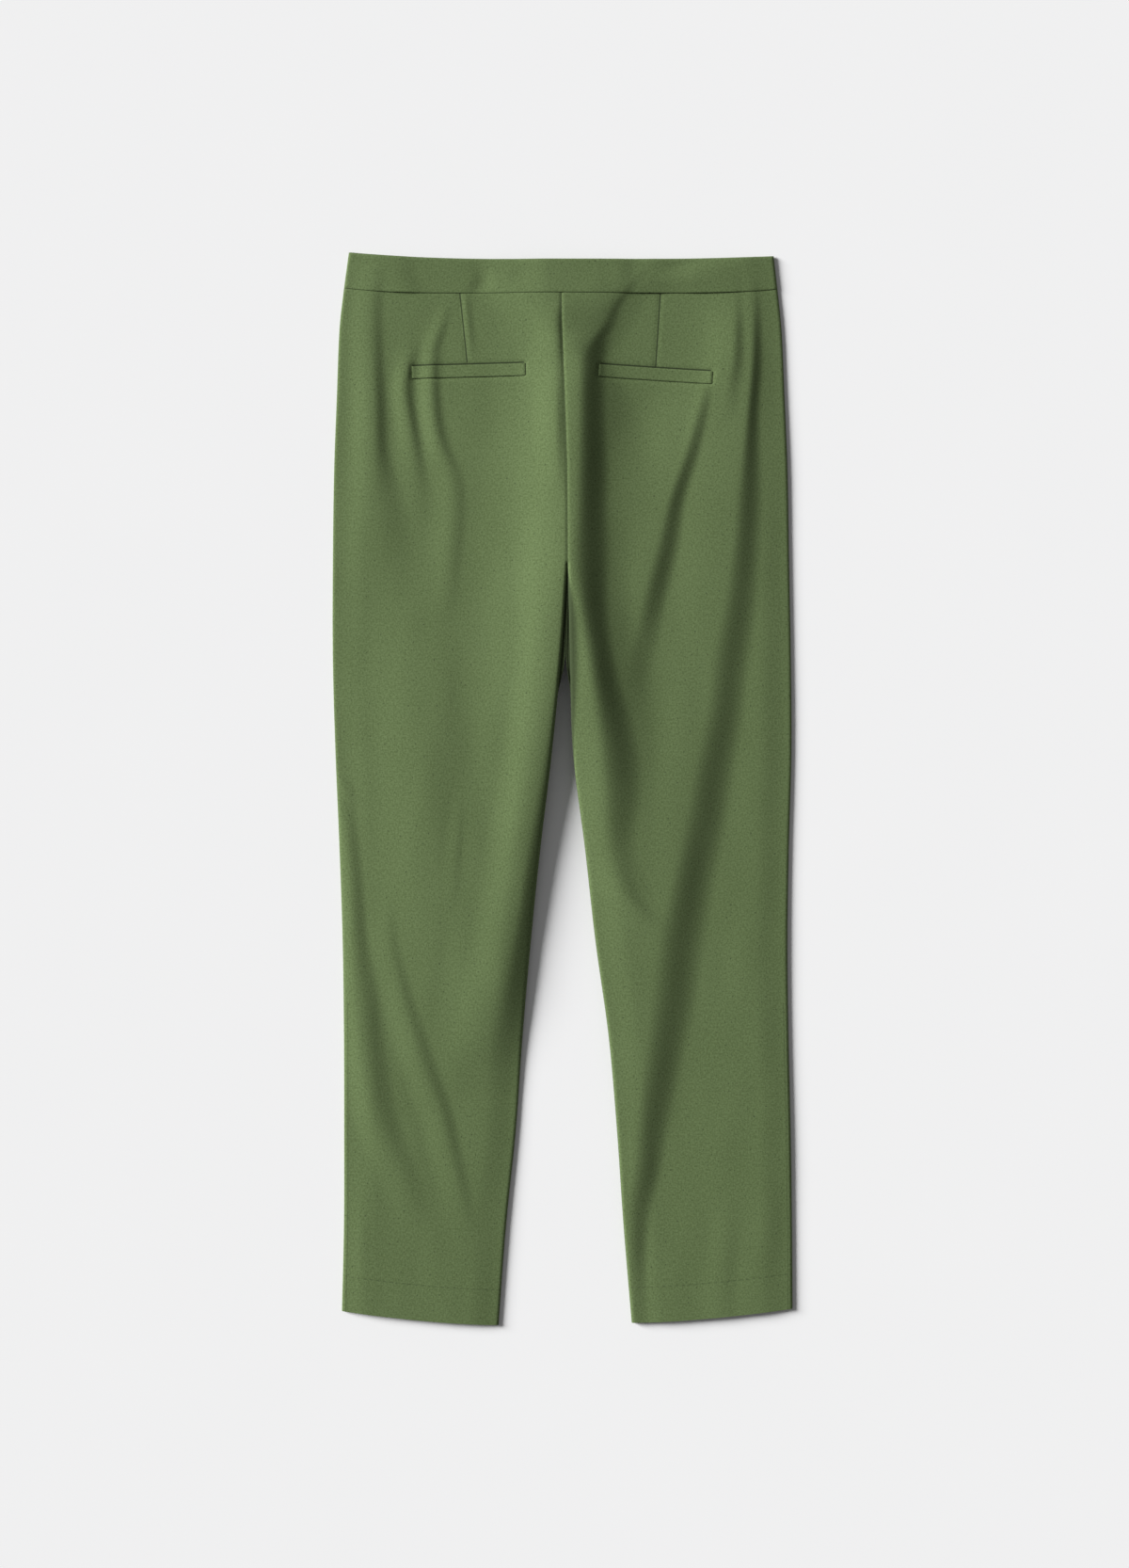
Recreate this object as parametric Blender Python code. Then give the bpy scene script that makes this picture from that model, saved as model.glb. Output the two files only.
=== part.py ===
"""Tapered ankle-length chinos, laid face down on a table with the seat side up.

Metres, +Z up.  +Y points from the hems to the waist and -X to the wearer's left.  The origin
is on the table, in the middle of the garment's footprint.  Every panel is a wall of cloth:
a grid of points on its outer face, worked out from the tables below, and a second grid one
cloth thickness further in.  "down" is a distance below the highest point of the waist.
"""

import math
from collections import namedtuple

import bmesh
import bpy
from mathutils import Vector
from mathutils.bvhtree import BVHTree

# ---------------------------------------------------------------- driving dimensions
LENGTH = 1.002          # highest point of the waist to the lowest point of a hem
CROTCH = 0.292          # down to the fork
HEM_RISE = 0.013        # a hem's outer corner is this much higher than its inner one
HEM_LIFT = {"left": 0.0, "right": 0.0022}   # one leg lies drawn up a little
HEM_DEPTH = 0.033       # turned up inside each leg

CLOTH = 0.0010          # one layer
DOUBLE = 0.0020         # a hem or a waistband: two layers
SEAM_GAP = 0.0003       # between neighbouring pieces

# Waistband: its top edge dips and its lower seam sags between the side seams.
TOP_DIP = 0.0066
TOP_DIP_RIGHT = 0.0035
SEAM_DOWN = 0.0383
SEAM_SAG = 0.0050
BAND_PROUD = 0.0005     # the band's outer face stands this far above the panels'
HALF_WAIST = 0.205

# The two layers lie on each other LOFT apart, outside to outside, and closer at the edges.
LOFT = 0.0044
HEM_LOFT = 0.0051
EDGE_SHARE = 0.66       # thickness just inside an edge, as a share of the loft
EDGE_REACH = 0.030
EDGE_TURN = 0.0032      # width over which an edge rolls to its seam
LAYER_ROOM = 0.0008     # the lower layer follows a fold this far below the upper one
FORK_FADE = 0.080       # the inner edges thin out over this length below the fork
FILL_END = 0.372        # the fronts fill the gap between the legs down to here
FILL_FADE = 0.045       # and draw back to the inseams over this length
FILL_REACH = 0.030      # the bulge dies out this far from the inseam
LEVEL_TOP = 1.9

# Welt pockets on the seat: middle of each welt, and how far its outer end droops.
WELT_LENGTH = 0.106
WELT_DEPTH = 0.012
Welt = namedtuple("Welt", "across down droop")
WELTS = {
    "left": Welt(-0.090, 0.111, math.radians(1.4)),
    "right": Welt(0.0845, 0.114, math.radians(3.6)),
}

# Fly: the wearer's right front laps over the left one as far as the centre line.
UNDERLAP = 0.034        # the left band runs on this far behind the right one
LAP_RAMP = 0.012        # and climbs over its edge within this length
BUTTON_ACROSS = 0.015
BUTTON_DOWN = 0.021
BUTTON_RADIUS = 0.0085
BUTTON_THICK = 0.0023
BUTTON_LIFT = BUTTON_THICK + SEAM_GAP
LIFT_ACROSS = 0.065     # the button holds the front off the table over this reach
LIFT_DOWN = 0.085
ZIP_TOP = 0.046
ZIP_LENGTH = 0.150
ZIP_WIDTH = 0.026
ZIP_THICK = 0.0010
ZIP_ROWS = 8
ZIP_COLUMNS = 4
SLIDER_SIZE = (0.008, 0.011, 0.0020)
FLY_BULGE = 0.0015      # the seat side rises over the lap, the zip and the slider
FLY_ACROSS = 0.010
FLY_DOWN = 0.020
BULGE_REACH = 0.058

# ---------------------------------------------------------------- how the garment lies
# Edges of both legs, measured across from the centre line.
Level = namedtuple("Level", "down left_outer left_inner right_inner right_outer")
LEVELS = (
    Level(0.000, -0.2020, -0.0040, -0.0040, 0.1948),
    Level(0.037, -0.2070, -0.0035, -0.0035, 0.1989),
    Level(0.072, -0.2108, -0.0028, -0.0028, 0.2024),
    Level(0.133, -0.2132, -0.0004, -0.0004, 0.2052),
    Level(0.204, -0.2158, 0.0018, 0.0018, 0.2081),
    Level(0.292, -0.2170, 0.0024, 0.0024, 0.2096),
    Level(0.380, -0.2170, -0.0036, 0.0046, 0.2112),
    Level(0.468, -0.2145, -0.0120, 0.0074, 0.2117),
    Level(0.556, -0.2108, -0.0226, 0.0184, 0.2093),
    Level(0.644, -0.2078, -0.0317, 0.0284, 0.2080),
    Level(0.732, -0.2066, -0.0394, 0.0406, 0.2090),
    Level(0.820, -0.2064, -0.0458, 0.0484, 0.2110),
    Level(0.908, -0.2066, -0.0548, 0.0545, 0.2122),
    Level(1.002, -0.2088, -0.0620, 0.0624, 0.2128),
)
SEAT_LEVELS = [level for level in LEVELS if level.down <= CROTCH]
LEG_LEVELS = [level for level in LEVELS if level.down >= CROTCH]

# Folds of the seat side, leg by leg; those that cross the centre seam are the same on both
# legs down to the fork.  Each row is a point of a fold's crest: how high it stands above
# the cloth around it, and how far it reaches to the left and to the right of the crest.
Crest = namedtuple("Crest", "down across rise left right")
FOLDS = {
    "left": {
        "seat_dome": (
            Crest(0.020, 0.000, 0.0000, 0.170, 0.140),
            Crest(0.070, 0.000, 0.0018, 0.180, 0.130),
            Crest(0.133, 0.002, 0.0038, 0.190, 0.118),
            Crest(0.204, 0.004, 0.0048, 0.200, 0.115),
            Crest(0.292, 0.005, 0.0050, 0.200, 0.112),
            Crest(0.380, -0.006, 0.0054, 0.190, 0.060),
            Crest(0.432, -0.017, 0.0046, 0.180, 0.060),
            Crest(0.485, -0.026, 0.0030, 0.170, 0.060),
            Crest(0.556, -0.040, 0.0014, 0.155, 0.075),
            Crest(0.650, -0.055, 0.0000, 0.135, 0.090),
        ),
        "seat_swell": (
            Crest(0.000, -0.0500, 0.0000, 0.050, 0.080),
            Crest(0.043, -0.0340, 0.0036, 0.050, 0.094),
            Crest(0.054, -0.0250, 0.0044, 0.050, 0.084),
            Crest(0.067, -0.0150, 0.0050, 0.052, 0.068),
            Crest(0.077, -0.0070, 0.0052, 0.058, 0.056),
            Crest(0.085, 0.0010, 0.0054, 0.066, 0.046),
            Crest(0.102, 0.0115, 0.0052, 0.078, 0.028),
            Crest(0.125, 0.0125, 0.0064, 0.084, 0.026),
            Crest(0.168, 0.0118, 0.0078, 0.090, 0.028),
            Crest(0.204, 0.0108, 0.0088, 0.092, 0.031),
            Crest(0.239, 0.0095, 0.0090, 0.092, 0.032),
            Crest(0.292, 0.0065, 0.0088, 0.094, 0.036),
            Crest(0.327, 0.0000, 0.0088, 0.094, 0.034),
            Crest(0.362, -0.0045, 0.0086, 0.094, 0.032),
            Crest(0.397, -0.0082, 0.0084, 0.094, 0.034),
            Crest(0.432, -0.0130, 0.0082, 0.094, 0.034),
            Crest(0.485, -0.0212, 0.0074, 0.086, 0.034),
            Crest(0.556, -0.0345, 0.0066, 0.080, 0.034),
            Crest(0.626, -0.0460, 0.0060, 0.070, 0.034),
            Crest(0.680, -0.0560, 0.0050, 0.064, 0.040),
            Crest(0.714, -0.0630, 0.0036, 0.060, 0.046),
            Crest(0.790, -0.0800, 0.0000, 0.060, 0.050),
        ),
        "seat_ridge": (
            Crest(0.006, 0.0780, 0.0000, 0.060, 0.012),
            Crest(0.048, 0.0445, 0.0010, 0.060, 0.011),
            Crest(0.067, 0.0350, 0.0014, 0.060, 0.013),
            Crest(0.085, 0.0225, 0.0023, 0.060, 0.017),
            Crest(0.102, 0.0140, 0.0034, 0.060, 0.030),
            Crest(0.125, 0.0125, 0.0042, 0.060, 0.048),
            Crest(0.168, 0.0118, 0.0042, 0.060, 0.068),
            Crest(0.204, 0.0108, 0.0044, 0.060, 0.080),
            Crest(0.239, 0.0095, 0.0048, 0.060, 0.074),
            Crest(0.292, 0.0065, 0.0056, 0.058, 0.060),
            Crest(0.327, 0.0000, 0.0052, 0.050, 0.032),
            Crest(0.362, -0.0045, 0.0050, 0.046, 0.028),
            Crest(0.397, -0.0086, 0.0048, 0.044, 0.030),
            Crest(0.432, -0.0138, 0.0046, 0.042, 0.032),
            Crest(0.485, -0.0222, 0.0040, 0.042, 0.030),
            Crest(0.556, -0.0355, 0.0036, 0.042, 0.030),
            Crest(0.626, -0.0475, 0.0032, 0.042, 0.032),
            Crest(0.680, -0.0570, 0.0026, 0.042, 0.036),
            Crest(0.760, -0.0740, 0.0000, 0.040, 0.042),
        ),
        "hip_swell": (
            Crest(0.012, -0.178, 0.0003, 0.022, 0.014),
            Crest(0.050, -0.180, 0.0010, 0.024, 0.012),
            Crest(0.100, -0.180, 0.0020, 0.026, 0.013),
            Crest(0.142, -0.1785, 0.0026, 0.026, 0.0135),
            Crest(0.186, -0.178, 0.0026, 0.028, 0.016),
            Crest(0.230, -0.176, 0.0022, 0.030, 0.028),
            Crest(0.274, -0.174, 0.0016, 0.032, 0.034),
            Crest(0.330, -0.172, 0.0000, 0.034, 0.036),
        ),
        "hip_ripple": (
            Crest(0.080, -0.147, 0.0000, 0.014, 0.012),
            Crest(0.118, -0.150, 0.0012, 0.015, 0.012),
            Crest(0.150, -0.148, 0.0013, 0.015, 0.012),
            Crest(0.190, -0.143, 0.0010, 0.018, 0.013),
            Crest(0.250, -0.137, 0.0000, 0.020, 0.014),
        ),
        "pocket_ripple": (
            Crest(0.060, -0.122, 0.0000, 0.014, 0.012),
            Crest(0.100, -0.124, 0.0008, 0.014, 0.013),
            Crest(0.142, -0.126, 0.0013, 0.015, 0.014),
            Crest(0.186, -0.117, 0.0012, 0.018, 0.015),
            Crest(0.230, -0.106, 0.0009, 0.020, 0.016),
            Crest(0.290, -0.112, 0.0006, 0.022, 0.018),
            Crest(0.350, -0.120, 0.0000, 0.024, 0.020),
        ),
        "knee_swell": (
            Crest(0.260, -0.132, 0.0000, 0.070, 0.070),
            Crest(0.330, -0.132, 0.0015, 0.070, 0.076),
            Crest(0.400, -0.132, 0.0034, 0.072, 0.080),
            Crest(0.485, -0.129, 0.0049, 0.073, 0.080),
            Crest(0.560, -0.122, 0.0054, 0.074, 0.078),
            Crest(0.640, -0.112, 0.0046, 0.076, 0.072),
            Crest(0.700, -0.104, 0.0028, 0.076, 0.064),
            Crest(0.780, -0.096, 0.0000, 0.070, 0.060),
        ),
        "outer_shin_fold": (
            Crest(0.500, -0.2080, 0.0000, 0.010, 0.012),
            Crest(0.538, -0.2040, 0.0012, 0.010, 0.012),
            Crest(0.591, -0.2000, 0.0018, 0.012, 0.014),
            Crest(0.644, -0.1975, 0.0022, 0.014, 0.016),
            Crest(0.696, -0.1940, 0.0026, 0.018, 0.022),
            Crest(0.749, -0.1890, 0.0027, 0.022, 0.026),
            Crest(0.802, -0.1780, 0.0022, 0.026, 0.024),
            Crest(0.855, -0.1580, 0.0014, 0.026, 0.022),
            Crest(0.910, -0.1400, 0.0000, 0.024, 0.020),
        ),
        "inner_shin_fold": (
            Crest(0.600, -0.168, 0.0000, 0.020, 0.012),
            Crest(0.644, -0.165, 0.0008, 0.020, 0.012),
            Crest(0.696, -0.153, 0.0014, 0.022, 0.014),
            Crest(0.749, -0.137, 0.0016, 0.024, 0.016),
            Crest(0.802, -0.118, 0.0016, 0.024, 0.015),
            Crest(0.855, -0.105, 0.0012, 0.024, 0.014),
            Crest(0.920, -0.090, 0.0000, 0.022, 0.014),
        ),
    },
    "right": {
        "seat_dome": (
            Crest(0.020, 0.000, 0.0000, 0.170, 0.140),
            Crest(0.070, 0.000, 0.0018, 0.180, 0.130),
            Crest(0.133, 0.002, 0.0038, 0.190, 0.118),
            Crest(0.204, 0.004, 0.0048, 0.200, 0.115),
            Crest(0.292, 0.005, 0.0050, 0.200, 0.112),
            Crest(0.380, 0.015, 0.0044, 0.180, 0.108),
            Crest(0.468, 0.026, 0.0030, 0.160, 0.108),
            Crest(0.556, 0.036, 0.0014, 0.140, 0.110),
            Crest(0.620, 0.044, 0.0000, 0.120, 0.110),
        ),
        "seat_swell": (
            Crest(0.000, -0.0500, 0.0000, 0.050, 0.080),
            Crest(0.043, -0.0340, 0.0036, 0.050, 0.094),
            Crest(0.054, -0.0250, 0.0044, 0.050, 0.084),
            Crest(0.067, -0.0150, 0.0050, 0.052, 0.068),
            Crest(0.077, -0.0070, 0.0052, 0.058, 0.056),
            Crest(0.085, 0.0010, 0.0054, 0.066, 0.046),
            Crest(0.102, 0.0115, 0.0052, 0.078, 0.028),
            Crest(0.125, 0.0125, 0.0064, 0.084, 0.026),
            Crest(0.168, 0.0118, 0.0078, 0.090, 0.028),
            Crest(0.204, 0.0108, 0.0088, 0.092, 0.031),
            Crest(0.239, 0.0095, 0.0090, 0.092, 0.032),
            Crest(0.292, 0.0065, 0.0088, 0.094, 0.036),
            Crest(0.327, 0.0115, 0.0086, 0.090, 0.030),
            Crest(0.362, 0.0165, 0.0082, 0.100, 0.028),
            Crest(0.397, 0.0215, 0.0082, 0.110, 0.030),
            Crest(0.432, 0.0265, 0.0080, 0.110, 0.036),
            Crest(0.468, 0.0310, 0.0070, 0.100, 0.040),
            Crest(0.503, 0.0345, 0.0052, 0.080, 0.038),
            Crest(0.556, 0.0370, 0.0032, 0.060, 0.032),
            Crest(0.608, 0.0560, 0.0012, 0.056, 0.032),
            Crest(0.650, 0.0800, 0.0000, 0.050, 0.030),
        ),
        "seat_ridge": (
            Crest(0.006, 0.0780, 0.0000, 0.060, 0.012),
            Crest(0.048, 0.0445, 0.0010, 0.060, 0.011),
            Crest(0.067, 0.0350, 0.0014, 0.060, 0.013),
            Crest(0.085, 0.0225, 0.0023, 0.060, 0.017),
            Crest(0.102, 0.0140, 0.0034, 0.060, 0.030),
            Crest(0.125, 0.0125, 0.0042, 0.060, 0.048),
            Crest(0.168, 0.0118, 0.0042, 0.060, 0.068),
            Crest(0.204, 0.0108, 0.0044, 0.060, 0.080),
            Crest(0.239, 0.0095, 0.0048, 0.060, 0.074),
            Crest(0.292, 0.0065, 0.0056, 0.058, 0.060),
            Crest(0.327, 0.0115, 0.0058, 0.090, 0.052),
            Crest(0.362, 0.0165, 0.0060, 0.100, 0.056),
            Crest(0.397, 0.0215, 0.0060, 0.110, 0.062),
            Crest(0.432, 0.0265, 0.0052, 0.110, 0.060),
            Crest(0.468, 0.0310, 0.0042, 0.100, 0.058),
            Crest(0.503, 0.0345, 0.0028, 0.080, 0.054),
            Crest(0.556, 0.0370, 0.0014, 0.056, 0.050),
            Crest(0.610, 0.0500, 0.0000, 0.050, 0.050),
        ),
        "hip_ripple": (
            Crest(0.012, 0.156, 0.0000, 0.030, 0.010),
            Crest(0.050, 0.157, 0.0006, 0.030, 0.010),
            Crest(0.072, 0.157, 0.0015, 0.030, 0.010),
            Crest(0.102, 0.155, 0.0018, 0.030, 0.011),
            Crest(0.142, 0.146, 0.0004, 0.030, 0.012),
            Crest(0.170, 0.140, 0.0000, 0.030, 0.012),
        ),
        "pocket_fold": (
            Crest(0.118, 0.130, 0.0000, 0.050, 0.010),
            Crest(0.142, 0.124, 0.0014, 0.060, 0.011),
            Crest(0.186, 0.1114, 0.0032, 0.080, 0.015),
            Crest(0.230, 0.0960, 0.0042, 0.090, 0.018),
            Crest(0.274, 0.0850, 0.0048, 0.095, 0.023),
            Crest(0.327, 0.0710, 0.0042, 0.090, 0.025),
            Crest(0.375, 0.0600, 0.0022, 0.080, 0.027),
            Crest(0.410, 0.0530, 0.0007, 0.070, 0.028),
            Crest(0.450, 0.0460, 0.0000, 0.070, 0.028),
        ),
        "long_fold": (
            Crest(0.020, 0.1730, 0.0000, 0.060, 0.009),
            Crest(0.050, 0.1745, 0.0010, 0.070, 0.010),
            Crest(0.072, 0.1745, 0.0020, 0.080, 0.010),
            Crest(0.102, 0.1735, 0.0030, 0.090, 0.011),
            Crest(0.142, 0.1700, 0.0037, 0.100, 0.012),
            Crest(0.186, 0.1650, 0.0046, 0.110, 0.018),
            Crest(0.230, 0.1600, 0.0054, 0.120, 0.025),
            Crest(0.274, 0.1560, 0.0056, 0.125, 0.028),
            Crest(0.327, 0.1480, 0.0055, 0.130, 0.033),
            Crest(0.380, 0.1370, 0.0057, 0.140, 0.037),
            Crest(0.432, 0.1305, 0.0060, 0.150, 0.038),
            Crest(0.485, 0.1195, 0.0066, 0.160, 0.040),
            Crest(0.538, 0.1100, 0.0070, 0.170, 0.041),
            Crest(0.591, 0.0980, 0.0073, 0.180, 0.043),
            Crest(0.644, 0.0860, 0.0075, 0.190, 0.047),
            Crest(0.696, 0.0800, 0.0072, 0.190, 0.045),
            Crest(0.749, 0.0740, 0.0066, 0.190, 0.039),
            Crest(0.820, 0.0650, 0.0057, 0.190, 0.033),
            Crest(0.855, 0.0620, 0.0053, 0.190, 0.030),
            Crest(0.890, 0.0590, 0.0044, 0.190, 0.024),
            Crest(0.925, 0.0600, 0.0034, 0.190, 0.019),
            Crest(0.960, 0.0620, 0.0018, 0.190, 0.016),
            Crest(1.002, 0.0640, 0.0010, 0.190, 0.016),
        ),
    },
}

# ---------------------------------------------------------------- grid sizes
TURN_STEPS = 2          # columns over a rolled edge
MIDDLE_STEPS = 9        # columns across a leg
FLANK = 0.014           # strip beside the inner edge with columns of its own
FLANK_STEPS = 2
ROWS_ABOVE = 6          # rows above and below the fork
ROWS_BELOW = 16
FORK_ANGLES = (90, 60, 32, 12, 0)
BELOW_FORK = (0.004, 0.012, 0.024)
BAND_ROWS = 2
WELT_ROWS = 2
WELT_COLUMNS = 10
LAP_MARGIN = 0.002      # no column of the underlap stands closer to its end
SAME_LEVEL = 0.0001     # levels closer than this are one level

DOWNWARD = Vector((0.0, 0.0, -1.0))
SIDE = {"left": 1, "right": -1}   # +1 where the inner edge lies at larger x
COLOURS = {
    "cloth": ((0.150, 0.205, 0.092, 1.0), 0.85, 0.0),
    "button": ((0.085, 0.120, 0.055, 1.0), 0.45, 0.0),
    "zip": ((0.110, 0.150, 0.070, 1.0), 0.75, 0.0),
    "metal": ((0.48, 0.46, 0.42, 1.0), 0.35, 1.0),
}


# ---------------------------------------------------------------- reading the tables
def smooth(share):
    share = min(1.0, max(0.0, share))
    return share * share * (3.0 - 2.0 * share)


def along(rows, column, down):
    """A table's column at a level, as a smooth curve through its rows."""
    values = [getattr(row, column) for row in rows]
    if down <= rows[0].down:
        return values[0]
    if down >= rows[-1].down:
        return values[-1]
    i = next(n for n, row in enumerate(rows) if row.down > down) - 1

    def slope(n):
        low, high = max(0, n - 1), min(len(rows) - 1, n + 1)
        return (values[high] - values[low]) / (rows[high].down - rows[low].down)

    span = rows[i + 1].down - rows[i].down
    t = (down - rows[i].down) / span
    return (
        values[i] * (1 + 2 * t) * (1 - t) ** 2
        + slope(i) * span * t * (1 - t) ** 2
        + values[i + 1] * t * t * (3 - 2 * t)
        + slope(i + 1) * span * t * t * (t - 1)
    )


def outer_edge(leg, down):
    return along(LEVELS, leg + "_outer", down)


def inner_edge(leg, down):
    """Centre seam above the fork and inseam below it, half a seam gap back."""
    rows = SEAT_LEVELS if down <= CROTCH else LEG_LEVELS
    return along(rows, leg + "_inner", down) - SIDE[leg] * SEAM_GAP / 2


def waist_top(x):
    rise = TOP_DIP if x < 0 else TOP_DIP_RIGHT
    return TOP_DIP - rise * min(1.0, abs(x) / HALF_WAIST) ** 3


def waist_seam(x):
    return SEAM_DOWN - SEAM_SAG * min(1.0, abs(x) / HALF_WAIST) ** 6


def hem_line(leg, share):
    """share runs from 0 at a leg's outer edge to 1 at its inner edge."""
    return LENGTH - HEM_LIFT[leg] - HEM_RISE * (1.0 - share) ** 1.6


def at(x, down, z):
    return Vector((x, LENGTH / 2 - down, z))


# ---------------------------------------------------------------- heights of the cloth
def fold_height(leg, x, down):
    """Summed height of a leg's folds at a place."""
    height = 0.0
    for rows in FOLDS[leg].values():
        if rows[0].down <= down <= rows[-1].down:
            offset = x - along(rows, "across", down)
            reach = along(rows, "right" if offset > 0 else "left", down)
            if abs(offset) < reach:
                rise = max(0.0, along(rows, "rise", down))
                height += rise * 0.5 * (1.0 + math.cos(math.pi * offset / reach))
    return height


def inner_distance(leg, x, down):
    """Distance to the gap between the legs, whose highest point is the fork."""
    if down >= CROTCH:
        return abs(inner_edge(leg, down) - x)
    return math.hypot(inner_edge(leg, CROTCH) - x, CROTCH - down)


def bump(x, down, centre, reach):
    """1 over the middle of a bump and 0 beyond its reach, with a level top."""
    distance = math.hypot((x - centre[0]) / reach[0], (down - centre[1]) / reach[1])
    return smooth(LEVEL_TOP * (1.0 - distance))


def lift(x, down):
    """How far the button holds the front of the waist off the table."""
    centre, reach = (BUTTON_ACROSS, BUTTON_DOWN), (LIFT_ACROSS, LIFT_DOWN)
    return BUTTON_LIFT * bump(x, down, centre, reach)


def bottom_height(leg, x, down):
    """Outer face of the lower layer: it follows the large folds of the upper one."""
    fold = fold_height(leg, x, down)
    if fold < 2 * LAYER_ROOM:
        followed = fold * fold / (4 * LAYER_ROOM)
    else:
        followed = fold - LAYER_ROOM
    return lift(x, down) + followed


def top_height(leg, x, down):
    """Outer face of the upper layer before its edges roll over."""
    swell = smooth(abs(x - outer_edge(leg, down)) / EDGE_REACH)
    if down > CROTCH:
        fade = smooth((down - CROTCH) / FORK_FADE)
        swell *= 1 - fade * (1 - smooth(abs(x - inner_edge(leg, down)) / EDGE_REACH))
    loft = LOFT + (HEM_LOFT - LOFT) * smooth(down / LENGTH)
    body = loft * (EDGE_SHARE + (1 - EDGE_SHARE) * swell)
    centre, reach = (FLY_ACROSS, FLY_DOWN), (BULGE_REACH, BULGE_REACH)
    bulge = FLY_BULGE * bump(x, down, centre, reach)
    return body + bulge + lift(x, down) + fold_height(leg, x, down)


def roll(distance):
    """0 at an edge and 1 at the end of its turn, as a quarter of a circle."""
    share = min(1.0, max(0.0, distance / EDGE_TURN))
    return math.sqrt(1.0 - (1.0 - share) ** 2)


def seam_height(leg, edge, down):
    """A side seam or an inseam runs halfway between the two layers."""
    x = edge(leg, down)
    return (top_height(leg, x, down) + bottom_height(leg, x, down)) / 2


def rolled(leg, x, down, height, seam_shift):
    """A height with both edges of the leg rolled to their seams."""
    side = seam_height(leg, outer_edge, down) + seam_shift
    height = side + (height - side) * roll(abs(x - outer_edge(leg, down)))
    inner = seam_height(leg, inner_edge, max(down, CROTCH)) + seam_shift
    return inner + (height - inner) * roll(inner_distance(leg, x, down))


def back_height(leg, x, down):
    return rolled(leg, x, down, top_height(leg, x, down), SEAM_GAP / 2)


def front_height(leg, x, down):
    return rolled(leg, x, down, bottom_height(leg, x, down), -SEAM_GAP / 2)


# ---------------------------------------------------------------- walls of cloth
def fork_fill(leg, x, down):
    """How far a front bulges past its inseam into the top of the gap between the legs."""
    if down <= CROTCH:
        return 0.0
    gap = inner_edge("right", down) - inner_edge("left", down) - SEAM_GAP
    closed = 1 - smooth((down - FILL_END) / FILL_FADE)
    near = 1 - smooth(inner_distance(leg, x, down) / FILL_REACH)
    return SIDE[leg] * gap / 2 * closed * near


def even(start, end, steps):
    return [start + (end - start) * n / steps for n in range(steps + 1)]


def turn_shares(steps):
    return [1 - math.cos(math.radians(90 * n / steps)) for n in range(steps + 1)]


def panel_levels():
    """Levels of a leg panel's rows, as shares of the way from waist seam to hem."""
    hem_top = LENGTH - HEM_DEPTH
    downs = even(SEAM_DOWN, CROTCH - EDGE_TURN, ROWS_ABOVE)[:-1]
    downs += [CROTCH - EDGE_TURN * (1 - math.cos(math.radians(a))) for a in FORK_ANGLES]
    downs += [CROTCH + step for step in BELOW_FORK[:-1]]
    downs += even(CROTCH + BELOW_FORK[-1], hem_top - 0.002, ROWS_BELOW)
    downs += [hem_top, LENGTH]
    return [(down - SEAM_DOWN) / (LENGTH - SEAM_DOWN) for down in downs]


def row_insets(leg, down):
    """Distances of a row's points from the outer edge."""
    width = abs(inner_edge(leg, down) - outer_edge(leg, down))
    flank = width - FLANK
    turns = [EDGE_TURN * t for t in turn_shares(TURN_STEPS)]
    insets = turns[:-1] + even(EDGE_TURN, flank, MIDDLE_STEPS)[:-1]
    insets += even(flank, width - EDGE_TURN, FLANK_STEPS)[:-1]
    insets += [width - turn for turn in reversed(turns)]
    return insets


def panel_places(leg):
    """(x, down) of every point of a leg panel, row by row from the waist seam."""
    places = []
    for share in panel_levels():
        nominal = SEAM_DOWN + share * (LENGTH - SEAM_DOWN)
        insets = row_insets(leg, nominal)
        row = []
        for inset in insets:
            across = inset / insets[-1]
            start = waist_seam(outer_edge(leg, nominal) + SIDE[leg] * inset) + SEAM_GAP
            down = start + share * (hem_line(leg, across) - start)
            outer, inner = outer_edge(leg, down), inner_edge(leg, down)
            row.append((outer + (inner - outer) * across, down))
        places.append(row)
    return places


def normals_of(grid, up):
    """Unit normals of a grid of points, on the side where up is positive."""
    rows, columns = len(grid), len(grid[0])
    result = []
    for i in range(rows):
        line = []
        for j in range(columns):
            across = grid[i][min(j + 1, columns - 1)] - grid[i][max(j - 1, 0)]
            along_row = grid[min(i + 1, rows - 1)][j] - grid[max(i - 1, 0)][j]
            normal = across.cross(along_row).normalized()
            line.append(normal)
        result.append(line)
    middle = result[rows // 2][columns // 2]
    flip = 1 if middle.z * up > 0 else -1
    return [[normal * flip for normal in line] for line in result]


def wall(name, grid, normals, thickness, material):
    """A closed wall: the grid is its outer face, and thickness(i, j) lies inside it."""
    rows, columns = len(grid), len(grid[0])
    mesh = bmesh.new()
    outer = [[mesh.verts.new(point) for point in row] for row in grid]
    inner = [
        [
            mesh.verts.new(grid[i][j] - normals[i][j] * thickness(i, j))
            for j in range(columns)
        ]
        for i in range(rows)
    ]
    for i in range(rows - 1):
        for j in range(columns - 1):
            for sheet in (outer, inner):
                mesh.faces.new(
                    (sheet[i][j], sheet[i][j + 1], sheet[i + 1][j + 1], sheet[i + 1][j])
                )
    rim = [(0, j) for j in range(columns)]
    rim += [(i, columns - 1) for i in range(1, rows)]
    rim += [(rows - 1, j) for j in range(columns - 2, -1, -1)]
    rim += [(i, 0) for i in range(rows - 2, 0, -1)]
    for (a, b), (c, d) in zip(rim, rim[1:] + rim[:1]):
        mesh.faces.new((outer[a][b], outer[c][d], inner[c][d], inner[a][b]))
    bmesh.ops.recalc_face_normals(mesh, faces=mesh.faces)
    bmesh.ops.triangulate(mesh, faces=mesh.faces)
    return finish(name, mesh, material)


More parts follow.
